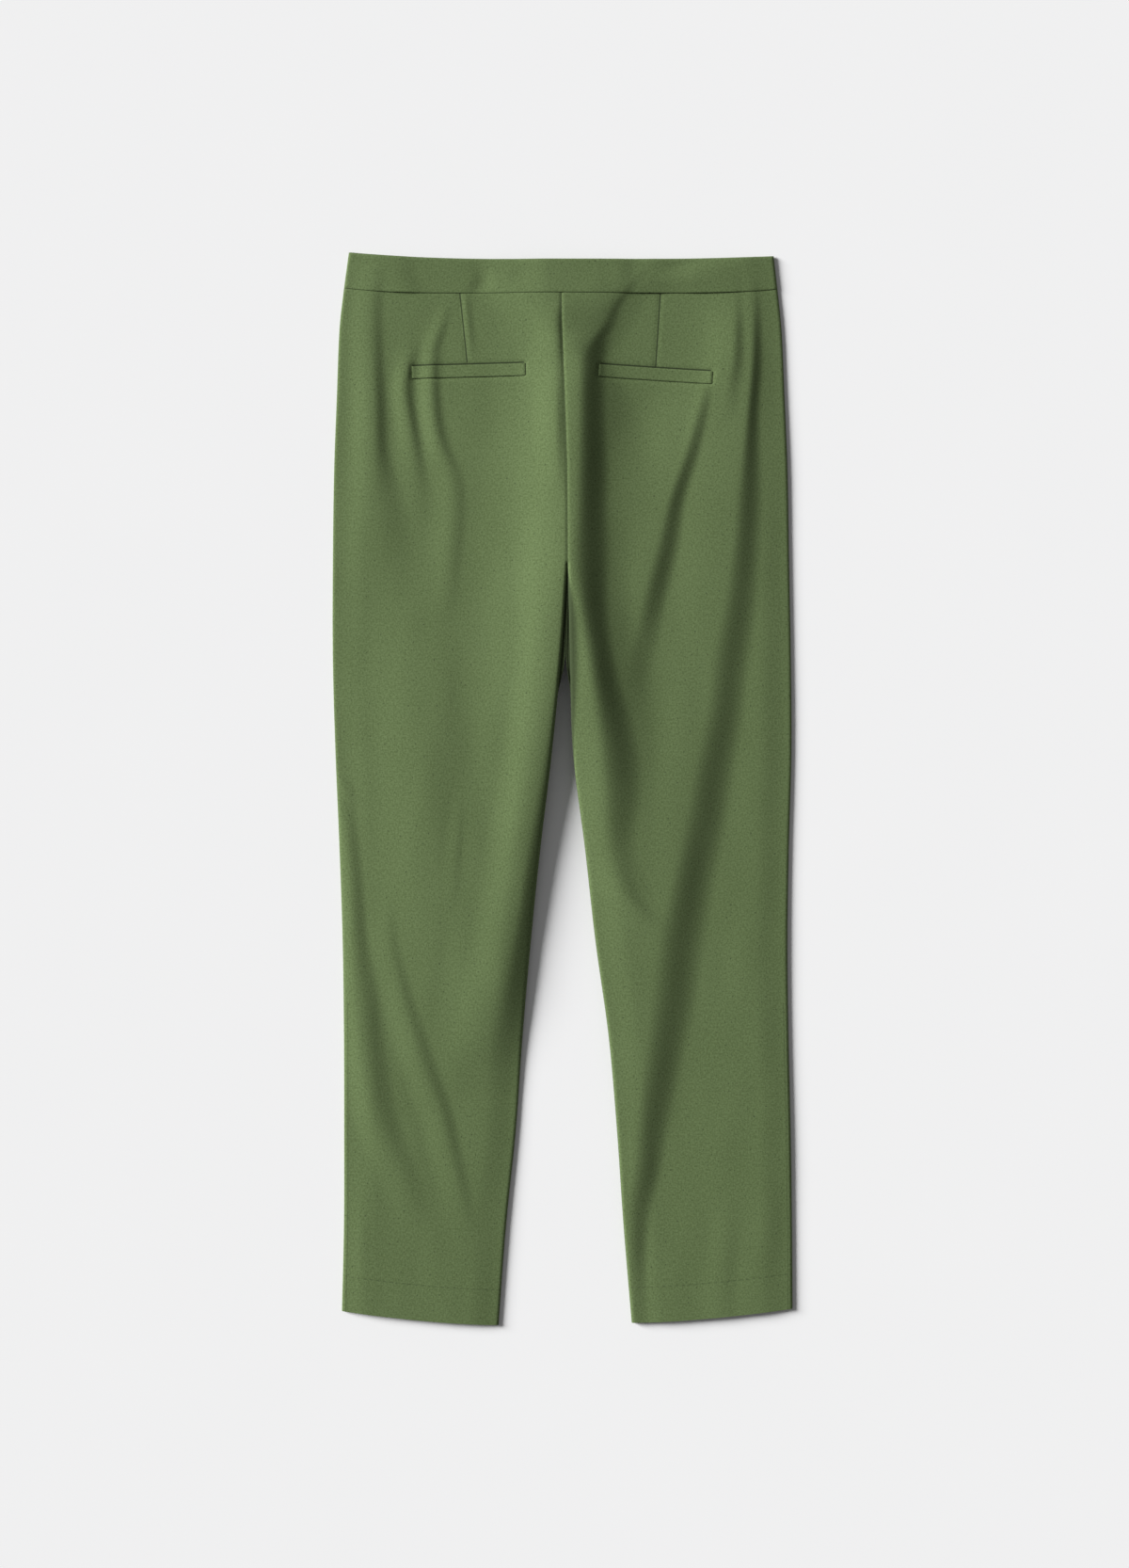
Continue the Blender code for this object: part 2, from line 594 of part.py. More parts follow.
def finish(name, mesh, material):
    data = bpy.data.meshes.new(name)
    mesh.to_mesh(data)
    mesh.free()
    data.materials.append(MATERIALS[material])
    piece = bpy.data.objects.new(name, data)
    GARMENT.objects.link(piece)
    return piece


def square_seam_normals(normals, places, leg):
    """Cut edges stand square: level at the side seam and inseam, upright at the centre."""
    inward = Vector((SIDE[leg], 0.0, 0.0))
    for line, row in zip(normals, places):
        line[0] = -inward
        down = row[-1][1]
        if down < CROTCH - SAME_LEVEL:
            line[-1] = Vector((0.0, line[-1].y, line[-1].z)).normalized()
        elif down < CROTCH + SAME_LEVEL:
            line[-1] = Vector((0.0, -1.0, 0.0))
        else:
            line[-1] = inward


def leg_panel(name, leg, height, up):
    places = panel_places(leg)
    grid = [
        [
            at(x + (fork_fill(leg, x, down) if up < 0 else 0), down, height(leg, x, down))
            for x, down in row
        ]
        for row in places
    ]
    normals = normals_of(grid, up)
    square_seam_normals(normals, places, leg)
    hem_rows = range(len(grid) - 2, len(grid))
    flat_columns = range(TURN_STEPS + 1, len(grid[0]) - TURN_STEPS - FLANK_STEPS - 1)

    def thickness(i, j):
        return DOUBLE if i in hem_rows and j in flat_columns else CLOTH

    return wall(name, grid, normals, thickness, "cloth")


# ---------------------------------------------------------------- waistband
def band_grid(xs, height):
    """Rows run from the top edge to the waist seam; ends follow the side edges."""
    grid = []
    for share in even(0.0, 1.0, BAND_ROWS):
        row = []
        for x in xs:
            down = waist_top(x) + share * (waist_seam(x) - waist_top(x))
            leg = "left" if x < 0 else "right"
            here = x * outer_edge(leg, down) / outer_edge(leg, SEAM_DOWN)
            row.append(at(here, down, height(here, down)))
        grid.append(row)
    return grid


def band_columns(leg):
    """Across-positions from the side edge to the centre, the same as the panel's."""
    edge = outer_edge(leg, SEAM_DOWN)
    return [edge + SIDE[leg] * inset for inset in row_insets(leg, SEAM_DOWN)]


def band_back():
    xs = band_columns("left") + band_columns("right")[-2::-1]

    def height(x, down):
        leg = "left" if x < 0 else "right"
        side = seam_height(leg, outer_edge, down) + SEAM_GAP / 2
        top = top_height(leg, x, down) + BAND_PROUD
        return side + (top - side) * roll(abs(x - outer_edge(leg, down)))

    grid = band_grid(xs, height)
    normals = normals_of(grid, 1)
    for line in normals:
        line[0] = Vector((-1.0, 0.0, 0.0))
        line[-1] = Vector((1.0, 0.0, 0.0))
    flat_columns = range(TURN_STEPS + 1, len(xs) - TURN_STEPS - 1)

    def thickness(i, j):
        return DOUBLE if j in flat_columns else CLOTH

    wall("waistband_back", grid, normals, thickness, "cloth")


def band_front(leg):
    """The right band ends at the centre line, and the left one runs on behind it."""
    xs = band_columns(leg)
    centre = xs[-1]
    if leg == "left":
        end = centre + UNDERLAP
        xs += [x for x in reversed(band_columns("right")) if centre < x < end - LAP_MARGIN]
        xs += [end]

    def height(x, down):
        side = seam_height(leg, outer_edge, down) - SEAM_GAP / 2
        bottom = bottom_height(leg, x, down)
        if leg == "left":
            climb = smooth((x - centre + LAP_RAMP) / LAP_RAMP)
            bottom += (DOUBLE + SEAM_GAP) * climb
        return side + (bottom - side) * roll(abs(x - outer_edge(leg, down)))

    grid = band_grid(xs, height)
    normals = normals_of(grid, -1)
    for line in normals:
        line[0] = Vector((-SIDE[leg], 0.0, 0.0))

    def thickness(i, j):
        return DOUBLE if j > TURN_STEPS else CLOTH

    wall("waistband_front_" + leg, grid, normals, thickness, "cloth")


# ---------------------------------------------------------------- pieces on the panels
def surface_of(piece):
    mesh = bmesh.new()
    mesh.from_mesh(piece.data)
    tree = BVHTree.FromBMesh(mesh)
    mesh.free()
    return tree


def welt(leg, panel):
    """A folded strip on the panel, made from the panel's own points, moved out."""
    tree = surface_of(panel)
    place = WELTS[leg]
    outward = -SIDE[leg]
    grid, normals = [], []
    for v in even(-WELT_DEPTH / 2, WELT_DEPTH / 2, WELT_ROWS):
        row, line = [], []
        for u in even(-WELT_LENGTH / 2, WELT_LENGTH / 2, WELT_COLUMNS):
            x = place.across + u * math.cos(place.droop)
            down = place.down + v + outward * u * math.sin(place.droop)
            hit, normal, _, _ = tree.ray_cast(at(x, down, 0.1), DOWNWARD)
            row.append(hit + normal * (SEAM_GAP + CLOTH))
            line.append(normal)
        grid.append(row)
        normals.append(line)
    wall("welt_" + leg, grid, normals, lambda i, j: CLOTH, "cloth")


def bed_height(trees, x, down):
    """Highest point of the fronts' inner face under the zip at a place."""
    highest = 0.0
    for offset in (-0.001, 0.001):
        for tree in trees:
            hit, _, _, _ = tree.ray_cast(at(x + offset, down, 0.05), DOWNWARD)
            if hit:
                highest = max(highest, hit.z)
    return highest + SEAM_GAP


def zip_and_slider(fronts):
    """A closed zip inside the fronts, with its slider at the top end of the teeth."""
    trees = [surface_of(front) for front in fronts]
    width, length, thick = SLIDER_SIZE
    grid = []
    for down in even(ZIP_TOP + length + SEAM_GAP, ZIP_TOP + ZIP_LENGTH, ZIP_ROWS):
        centre = along(LEVELS, "left_inner", down)
        xs = even(centre - ZIP_WIDTH / 2, centre + ZIP_WIDTH / 2, ZIP_COLUMNS)
        above = SEAM_GAP + ZIP_THICK
        grid.append([at(x, down, bed_height(trees, x, down) + above) for x in xs])
    wall("zip", grid, normals_of(grid, 1), lambda i, j: ZIP_THICK, "zip")

    mesh = bmesh.new()
    bmesh.ops.create_cube(mesh, size=1.0)
    bmesh.ops.scale(mesh, vec=SLIDER_SIZE, verts=mesh.verts)
    bmesh.ops.bevel(mesh, geom=mesh.edges[:], offset=0.0005, segments=1, affect="EDGES")
    slider = finish("zip_slider", mesh, "metal")
    middle = ZIP_TOP + length / 2
    centre = along(LEVELS, "left_inner", middle)
    corners = [(centre + x, ZIP_TOP + y) for x in (-width / 2, width / 2) for y in (0, length)]
    bed = max(bed_height(trees, x, down) for x, down in corners)
    slider.location = at(centre, middle, bed + thick / 2)


def button():
    """Four-hole button on the outside of the band, so between the band and the table."""
    rim, hole, spread = BUTTON_RADIUS, 0.0010, 0.0021
    dish, dish_depth, edge = 0.0060, 0.0006, 0.0005
    profile = (
        (0.0, BUTTON_THICK),
        (rim - edge, BUTTON_THICK),
        (rim, BUTTON_THICK - edge),
        (rim, edge),
        (rim - edge, 0.0),
        (dish, 0.0),
        (dish - edge, dish_depth),
        (0.0, dish_depth),
    )
    mesh = bmesh.new()
    ring = [mesh.verts.new((r, 0.0, z)) for r, z in profile]
    edges = [mesh.edges.new(pair) for pair in zip(ring, ring[1:])]
    bmesh.ops.spin(
        mesh, geom=ring + edges, cent=(0, 0, 0), axis=(0, 0, 1),
        angle=2 * math.pi, steps=20, use_merge=True,
    )
    bmesh.ops.remove_doubles(mesh, verts=mesh.verts, dist=0.00001)
    bmesh.ops.recalc_face_normals(mesh, faces=mesh.faces)
    disc = finish("button", mesh, "button")
    disc.location = at(BUTTON_ACROSS, BUTTON_DOWN, 0.0)
    for n in range(4):
        angle = math.radians(45 + 90 * n)
        cutter_mesh = bmesh.new()
        bmesh.ops.create_cone(
            cutter_mesh, cap_ends=True, segments=8,
            radius1=hole, radius2=hole, depth=4 * BUTTON_THICK,
        )
        data = bpy.data.meshes.new("button_hole_cutter")
        cutter_mesh.to_mesh(data)
        cutter_mesh.free()
        cutter = bpy.data.objects.new(f"button_hole_cutter_{n}", data)
        cutter.location = disc.location + Vector(
            (spread * math.cos(angle), spread * math.sin(angle), 0.0)
        )
        cutter.hide_render = True
        cutter.display_type = "WIRE"
        CUTTERS.objects.link(cutter)
        cut = disc.modifiers.new(f"hole_{n}", "BOOLEAN")
        cut.operation = "DIFFERENCE"
        cut.object = cutter


# ---------------------------------------------------------------- the scene
def clear_scene():
    for piece in list(bpy.data.objects):
        bpy.data.objects.remove(piece)


def new_collection(name):
    collection = bpy.data.collections.new(name)
    bpy.context.scene.collection.children.link(collection)
    return collection


def make_materials():
    made = {}
    for name, (colour, roughness, metallic) in COLOURS.items():
        material = bpy.data.materials.new(name)
        material.use_nodes = True
        shader = material.node_tree.nodes["Principled BSDF"]
        shader.inputs["Base Color"].default_value = colour
        shader.inputs["Roughness"].default_value = roughness
        shader.inputs["Metallic"].default_value = metallic
        made[name] = material
    return made


clear_scene()
GARMENT = new_collection("chinos")
CUTTERS = new_collection("cutters")
MATERIALS = make_materials()

fronts = []
for side in SIDE:
    seat_panel = leg_panel("back_" + side, side, back_height, 1)
    welt(side, seat_panel)
    fronts.append(leg_panel("front_" + side, side, front_height, -1))
    band_front(side)
band_back()
zip_and_slider(fronts)
button()
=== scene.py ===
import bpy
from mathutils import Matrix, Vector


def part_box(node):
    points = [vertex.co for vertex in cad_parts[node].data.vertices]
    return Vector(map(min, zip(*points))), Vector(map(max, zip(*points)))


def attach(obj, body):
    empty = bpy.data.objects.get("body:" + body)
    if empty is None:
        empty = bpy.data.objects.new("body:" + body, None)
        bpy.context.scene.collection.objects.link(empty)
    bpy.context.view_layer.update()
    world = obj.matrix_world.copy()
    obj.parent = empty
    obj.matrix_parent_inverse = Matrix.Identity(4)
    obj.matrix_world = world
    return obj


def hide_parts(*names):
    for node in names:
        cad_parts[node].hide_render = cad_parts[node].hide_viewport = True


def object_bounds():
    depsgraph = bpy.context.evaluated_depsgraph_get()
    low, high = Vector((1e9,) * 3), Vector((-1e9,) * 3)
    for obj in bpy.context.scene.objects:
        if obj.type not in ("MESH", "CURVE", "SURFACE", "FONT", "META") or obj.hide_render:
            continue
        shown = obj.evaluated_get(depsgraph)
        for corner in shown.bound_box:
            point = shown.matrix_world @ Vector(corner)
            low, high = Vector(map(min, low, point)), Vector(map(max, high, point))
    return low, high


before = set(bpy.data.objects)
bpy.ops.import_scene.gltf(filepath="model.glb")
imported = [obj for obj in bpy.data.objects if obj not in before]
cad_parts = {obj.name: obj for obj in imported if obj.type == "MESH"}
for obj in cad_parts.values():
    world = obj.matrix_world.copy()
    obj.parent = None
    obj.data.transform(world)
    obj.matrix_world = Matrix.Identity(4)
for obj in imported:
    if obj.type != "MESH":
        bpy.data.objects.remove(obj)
CAD_BOX = [list(corner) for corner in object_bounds()]

# Looks of the chinos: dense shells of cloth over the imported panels, their weave and seams,
# the floor, the light and the camera.  Metres.  "down" is a distance below the highest
# point of the waist; +Y points to the waist and -X to the wearer's left.
import math
from collections import namedtuple

import bpy
import numpy as np
from mathutils import Vector
from mathutils.bvhtree import BVHTree

TOP_Y = CAD_BOX[1][1]
LENGTH = CAD_BOX[1][1] - CAD_BOX[0][1]

# ---- sizes of the cut
CROTCH = 0.292          # down to the fork
HEM_RISE = 0.013        # a hem's outer corner is this much higher than its inner one
HEM_CURVE = 1.6
HEM_LIFT = {"left": 0.0, "right": 0.0022}   # one leg lies drawn up a little
HEM_DEPTH = 0.033
CLOTH = 0.0010          # one layer
DOUBLE = 0.0020         # the waistband's two layers
SEAM_GAP = 0.0003       # between neighbouring pieces

# Waistband: its top edge dips and its lower seam sags between the side seams.
TOP_DIP = 0.0066
TOP_DIP_RIGHT = 0.0035
SEAM_DOWN = 0.0383
SEAM_SAG = 0.0050
BAND_PROUD = 0.0005     # the band's outer face stands this far above the panels'
HALF_WAIST = 0.205

# The two layers lie on each other LOFT apart, outside to outside, and closer at the edges.
LOFT = 0.0044
HEM_LOFT = 0.0051
EDGE_SHARE = 0.66       # thickness just inside an edge, as a share of the loft
EDGE_REACH = 0.030
EDGE_TURN = 0.0032      # width over which an edge rolls to its seam
LAYER_ROOM = 0.0008     # the lower layer follows a fold this far below the upper one
FORK_FADE = 0.080       # the inner edges thin out over this length below the fork
FILL_END = 0.372        # the fronts fill the gap between the legs down to here
FILL_FADE = 0.045       # and draw back to the inseams over this length
FILL_REACH = 0.030      # the bulge dies out this far from the inseam
LEVEL_TOP = 1.9         # how wide a bump's level top is

# Welt pockets and darts of the seat.
WELT_LENGTH = 0.106
WELT_DEPTH = 0.012
Welt = namedtuple("Welt", "across down turn")      # its middle, and how far +X turns down
WELTS = {
    "left": Welt(-0.090, 0.111, math.radians(-1.4)),
    "right": Welt(0.0845, 0.114, math.radians(3.6)),
}
Dart = namedtuple("Dart", "top_across top_down foot_across foot_down")
DARTS = {
    "left": Dart(-0.0981, 0.0381, -0.0911, 0.1040),
    "right": Dart(0.0893, 0.0381, 0.0849, 0.1070),
}

# Fly: the wearer's right front laps over the left one as far as the centre line.
UNDERLAP = 0.034        # the left band runs on this far behind the right one
LAP_RAMP = 0.012        # and climbs over its edge within this length
BUTTON_CENTRE = (0.015, 0.021)
BUTTON_LIFT = 0.0026    # the button holds the front this far off the table
LIFT_REACH = (0.065, 0.085)
FLY_BULGE = 0.0015      # the seat side rises over the lap, the zip and the slider
FLY_CENTRE = (-0.006, 0.020)
BULGE_REACH = (0.072, 0.058)

# ---- how the garment lies
# Edges of both legs, measured across from the centre line.
Level = namedtuple("Level", "down left_outer left_inner right_inner right_outer")
LEVELS = [Level(*row) for row in (
    (0.000, -0.2020, -0.0040, -0.0040, 0.1948),
    (0.037, -0.2070, -0.0035, -0.0035, 0.1989),
    (0.072, -0.2108, -0.0028, -0.0028, 0.2024),
    (0.133, -0.2132, -0.0004, -0.0004, 0.2052),
    (0.204, -0.2158, 0.0018, 0.0018, 0.2081),
    (0.292, -0.2170, 0.0024, 0.0024, 0.2096),
    (0.380, -0.2170, -0.0036, 0.0046, 0.2112),
    (0.468, -0.2145, -0.0120, 0.0074, 0.2117),
    (0.556, -0.2108, -0.0226, 0.0184, 0.2093),
    (0.644, -0.2078, -0.0317, 0.0284, 0.2080),
    (0.732, -0.2066, -0.0394, 0.0406, 0.2090),
    (0.820, -0.2064, -0.0458, 0.0484, 0.2110),
    (0.908, -0.2066, -0.0548, 0.0545, 0.2122),
    (1.002, -0.2088, -0.0620, 0.0624, 0.2128),
)]
SEAT_LEVELS = [level for level in LEVELS if level.down <= CROTCH]
LEG_LEVELS = [level for level in LEVELS if level.down >= CROTCH]

# Folds of the seat side, leg by leg; those that cross the centre seam share their rows down
# to the fork.  Each row is a point of a fold's crest: how high it stands above the cloth
# around it, and how far it reaches to the left and to the right of the crest.
Crest = namedtuple("Crest", "down across rise left right")


def fold(*rows):
    """A fold's crest, from rows of down, across, rise, left and right."""
    return tuple(Crest(*row) for row in rows)


DOME_TO_FORK = fold(
    (0.020, 0.000, 0.0000, 0.170, 0.140),
    (0.070, 0.000, 0.0018, 0.180, 0.130),
    (0.133, 0.002, 0.0038, 0.190, 0.118),
    (0.204, 0.004, 0.0048, 0.200, 0.115),
    (0.292, 0.005, 0.0050, 0.200, 0.112),
)
SWELL_TO_FORK = fold(
    (0.000, -0.0500, 0.0000, 0.050, 0.080),
    (0.043, -0.0340, 0.0036, 0.050, 0.094),
    (0.054, -0.0250, 0.0044, 0.050, 0.084),
    (0.067, -0.0150, 0.0050, 0.052, 0.068),
    (0.077, -0.0070, 0.0052, 0.058, 0.056),
    (0.085, 0.0010, 0.0054, 0.066, 0.046),
    (0.102, 0.0115, 0.0052, 0.078, 0.028),
    (0.125, 0.0125, 0.0064, 0.084, 0.026),
    (0.168, 0.0118, 0.0078, 0.090, 0.028),
    (0.204, 0.0108, 0.0088, 0.092, 0.031),
    (0.239, 0.0095, 0.0090, 0.092, 0.032),
    (0.292, 0.0065, 0.0088, 0.094, 0.036),
)
RIDGE_TO_FORK = fold(
    (0.006, 0.0780, 0.0000, 0.060, 0.012),
    (0.048, 0.0445, 0.0010, 0.060, 0.011),
    (0.067, 0.0350, 0.0014, 0.060, 0.013),
    (0.085, 0.0225, 0.0023, 0.060, 0.017),
    (0.102, 0.0140, 0.0034, 0.060, 0.030),
    (0.125, 0.0125, 0.0042, 0.060, 0.048),
    (0.168, 0.0118, 0.0042, 0.060, 0.068),
    (0.204, 0.0108, 0.0044, 0.060, 0.080),
    (0.239, 0.0095, 0.0048, 0.060, 0.074),
    (0.292, 0.0065, 0.0056, 0.058, 0.060),
)
LEFT_FOLDS = {
    "seat_dome": DOME_TO_FORK + fold(
        (0.380, -0.006, 0.0054, 0.190, 0.060),
        (0.432, -0.017, 0.0046, 0.180, 0.060),
        (0.485, -0.026, 0.0030, 0.170, 0.060),
        (0.556, -0.040, 0.0014, 0.155, 0.075),
        (0.650, -0.055, 0.0000, 0.135, 0.090),
    ),
    "seat_swell": SWELL_TO_FORK + fold(
        (0.327, 0.0000, 0.0088, 0.094, 0.034),
        (0.362, -0.0045, 0.0086, 0.094, 0.032),
        (0.397, -0.0082, 0.0084, 0.094, 0.034),
        (0.432, -0.0130, 0.0082, 0.094, 0.034),
        (0.485, -0.0212, 0.0074, 0.086, 0.034),
        (0.556, -0.0345, 0.0066, 0.080, 0.034),
        (0.626, -0.0460, 0.0060, 0.070, 0.034),
        (0.680, -0.0560, 0.0050, 0.064, 0.040),
        (0.714, -0.0630, 0.0036, 0.060, 0.046),
        (0.790, -0.0800, 0.0000, 0.060, 0.050),
    ),
    "seat_ridge": RIDGE_TO_FORK + fold(
        (0.327, 0.0000, 0.0052, 0.050, 0.032),
        (0.362, -0.0045, 0.0050, 0.046, 0.028),
        (0.397, -0.0086, 0.0048, 0.044, 0.030),
        (0.432, -0.0138, 0.0046, 0.042, 0.032),
        (0.485, -0.0222, 0.0040, 0.042, 0.030),
        (0.556, -0.0355, 0.0036, 0.042, 0.030),
        (0.626, -0.0475, 0.0032, 0.042, 0.032),
        (0.680, -0.0570, 0.0026, 0.042, 0.036),
        (0.760, -0.0740, 0.0000, 0.040, 0.042),
    ),
    "hip_swell": fold(
        (0.012, -0.178, 0.0003, 0.022, 0.014),
        (0.050, -0.180, 0.0010, 0.024, 0.012),
        (0.100, -0.180, 0.0020, 0.026, 0.013),
        (0.142, -0.1785, 0.0026, 0.026, 0.0135),
        (0.186, -0.178, 0.0026, 0.028, 0.016),
        (0.230, -0.176, 0.0022, 0.030, 0.028),
        (0.274, -0.174, 0.0016, 0.032, 0.034),
        (0.330, -0.172, 0.0000, 0.034, 0.036),
    ),
    "hip_ripple": fold(
        (0.080, -0.147, 0.0000, 0.014, 0.012),
        (0.118, -0.150, 0.0012, 0.015, 0.012),
        (0.150, -0.148, 0.0013, 0.015, 0.012),
        (0.190, -0.143, 0.0010, 0.018, 0.013),
        (0.250, -0.137, 0.0000, 0.020, 0.014),
    ),
    "pocket_ripple": fold(
        (0.060, -0.122, 0.0000, 0.014, 0.012),
        (0.100, -0.124, 0.0008, 0.014, 0.013),
        (0.142, -0.126, 0.0013, 0.015, 0.014),
        (0.186, -0.117, 0.0012, 0.018, 0.015),
        (0.230, -0.106, 0.0009, 0.020, 0.016),
        (0.290, -0.112, 0.0006, 0.022, 0.018),
        (0.350, -0.120, 0.0000, 0.024, 0.020),
    ),
    "knee_swell": fold(
        (0.260, -0.132, 0.0000, 0.070, 0.070),
        (0.330, -0.132, 0.0015, 0.070, 0.076),
        (0.400, -0.132, 0.0034, 0.072, 0.080),
        (0.485, -0.129, 0.0049, 0.073, 0.080),
        (0.560, -0.122, 0.0054, 0.074, 0.078),
        (0.640, -0.112, 0.0046, 0.076, 0.072),
        (0.700, -0.104, 0.0028, 0.076, 0.064),
        (0.780, -0.096, 0.0000, 0.070, 0.060),
    ),
    "outer_shin_fold": fold(
        (0.500, -0.2080, 0.0000, 0.010, 0.012),
        (0.538, -0.2040, 0.0012, 0.010, 0.012),
        (0.591, -0.2000, 0.0018, 0.012, 0.014),
        (0.644, -0.1975, 0.0022, 0.014, 0.016),
        (0.696, -0.1940, 0.0026, 0.018, 0.022),
        (0.749, -0.1890, 0.0027, 0.022, 0.026),
        (0.802, -0.1780, 0.0022, 0.026, 0.024),
        (0.855, -0.1580, 0.0014, 0.026, 0.022),
        (0.910, -0.1400, 0.0000, 0.024, 0.020),
    ),
    "inner_shin_fold": fold(
        (0.600, -0.168, 0.0000, 0.020, 0.012),
        (0.644, -0.165, 0.0008, 0.020, 0.012),
        (0.696, -0.153, 0.0014, 0.022, 0.014),
        (0.749, -0.137, 0.0016, 0.024, 0.016),
        (0.802, -0.118, 0.0016, 0.024, 0.015),
        (0.855, -0.105, 0.0012, 0.024, 0.014),
        (0.920, -0.090, 0.0000, 0.022, 0.014),
    ),
}
RIGHT_FOLDS = {
    "seat_dome": DOME_TO_FORK + fold(
        (0.380, 0.015, 0.0044, 0.180, 0.108),
        (0.468, 0.026, 0.0030, 0.160, 0.108),
        (0.556, 0.036, 0.0014, 0.140, 0.110),
        (0.620, 0.044, 0.0000, 0.120, 0.110),
    ),
    "seat_swell": SWELL_TO_FORK + fold(
        (0.327, 0.0115, 0.0086, 0.090, 0.030),
        (0.362, 0.0165, 0.0082, 0.100, 0.028),
        (0.397, 0.0215, 0.0082, 0.110, 0.030),
        (0.432, 0.0265, 0.0080, 0.110, 0.036),
        (0.468, 0.0310, 0.0070, 0.100, 0.040),
        (0.503, 0.0345, 0.0052, 0.080, 0.038),
        (0.556, 0.0370, 0.0032, 0.060, 0.032),
        (0.608, 0.0560, 0.0012, 0.056, 0.032),
        (0.650, 0.0800, 0.0000, 0.050, 0.030),
    ),
    "seat_ridge": RIDGE_TO_FORK + fold(
        (0.327, 0.0115, 0.0058, 0.090, 0.052),
        (0.362, 0.0165, 0.0060, 0.100, 0.056),
        (0.397, 0.0215, 0.0060, 0.110, 0.062),
        (0.432, 0.0265, 0.0052, 0.110, 0.060),
        (0.468, 0.0310, 0.0042, 0.100, 0.058),
        (0.503, 0.0345, 0.0028, 0.080, 0.054),
        (0.556, 0.0370, 0.0014, 0.056, 0.050),
        (0.610, 0.0500, 0.0000, 0.050, 0.050),
    ),
    "hip_ripple": fold(
        (0.012, 0.156, 0.0000, 0.030, 0.010),
        (0.050, 0.157, 0.0006, 0.030, 0.010),
        (0.072, 0.157, 0.0015, 0.030, 0.010),
        (0.102, 0.155, 0.0018, 0.030, 0.011),
        (0.142, 0.146, 0.0004, 0.030, 0.012),
        (0.170, 0.140, 0.0000, 0.030, 0.012),
    ),
    "pocket_fold": fold(
        (0.118, 0.130, 0.0000, 0.050, 0.010),
        (0.142, 0.124, 0.0014, 0.060, 0.011),
        (0.186, 0.1114, 0.0032, 0.080, 0.015),
        (0.230, 0.0960, 0.0042, 0.090, 0.018),
        (0.274, 0.0850, 0.0048, 0.095, 0.023),
        (0.327, 0.0710, 0.0042, 0.090, 0.025),
        (0.375, 0.0600, 0.0022, 0.080, 0.027),
        (0.410, 0.0530, 0.0007, 0.070, 0.028),
        (0.450, 0.0460, 0.0000, 0.070, 0.028),
    ),
    "long_fold": fold(
        (0.020, 0.1730, 0.0000, 0.060, 0.009),
        (0.050, 0.1745, 0.0010, 0.070, 0.010),
        (0.072, 0.1745, 0.0020, 0.080, 0.010),
        (0.102, 0.1735, 0.0030, 0.090, 0.011),
        (0.142, 0.1700, 0.0037, 0.100, 0.012),
        (0.186, 0.1650, 0.0046, 0.110, 0.018),
        (0.230, 0.1600, 0.0054, 0.120, 0.025),
        (0.274, 0.1560, 0.0056, 0.125, 0.028),
        (0.327, 0.1480, 0.0055, 0.130, 0.033),
        (0.380, 0.1370, 0.0057, 0.140, 0.037),
        (0.432, 0.1305, 0.0060, 0.150, 0.038),
        (0.485, 0.1195, 0.0066, 0.160, 0.040),
        (0.538, 0.1100, 0.0070, 0.170, 0.041),
        (0.591, 0.0980, 0.0073, 0.180, 0.043),
        (0.644, 0.0860, 0.0075, 0.190, 0.047),
        (0.696, 0.0800, 0.0072, 0.190, 0.045),
        (0.749, 0.0740, 0.0066, 0.190, 0.039),
        (0.820, 0.0650, 0.0057, 0.190, 0.033),
        (0.855, 0.0620, 0.0053, 0.190, 0.030),
        (0.890, 0.0590, 0.0044, 0.190, 0.024),
        (0.925, 0.0600, 0.0034, 0.190, 0.019),
        (0.960, 0.0620, 0.0018, 0.190, 0.016),
        (1.002, 0.0640, 0.0010, 0.190, 0.016),
    ),
}
FOLDS = {"left": LEFT_FOLDS, "right": RIGHT_FOLDS}

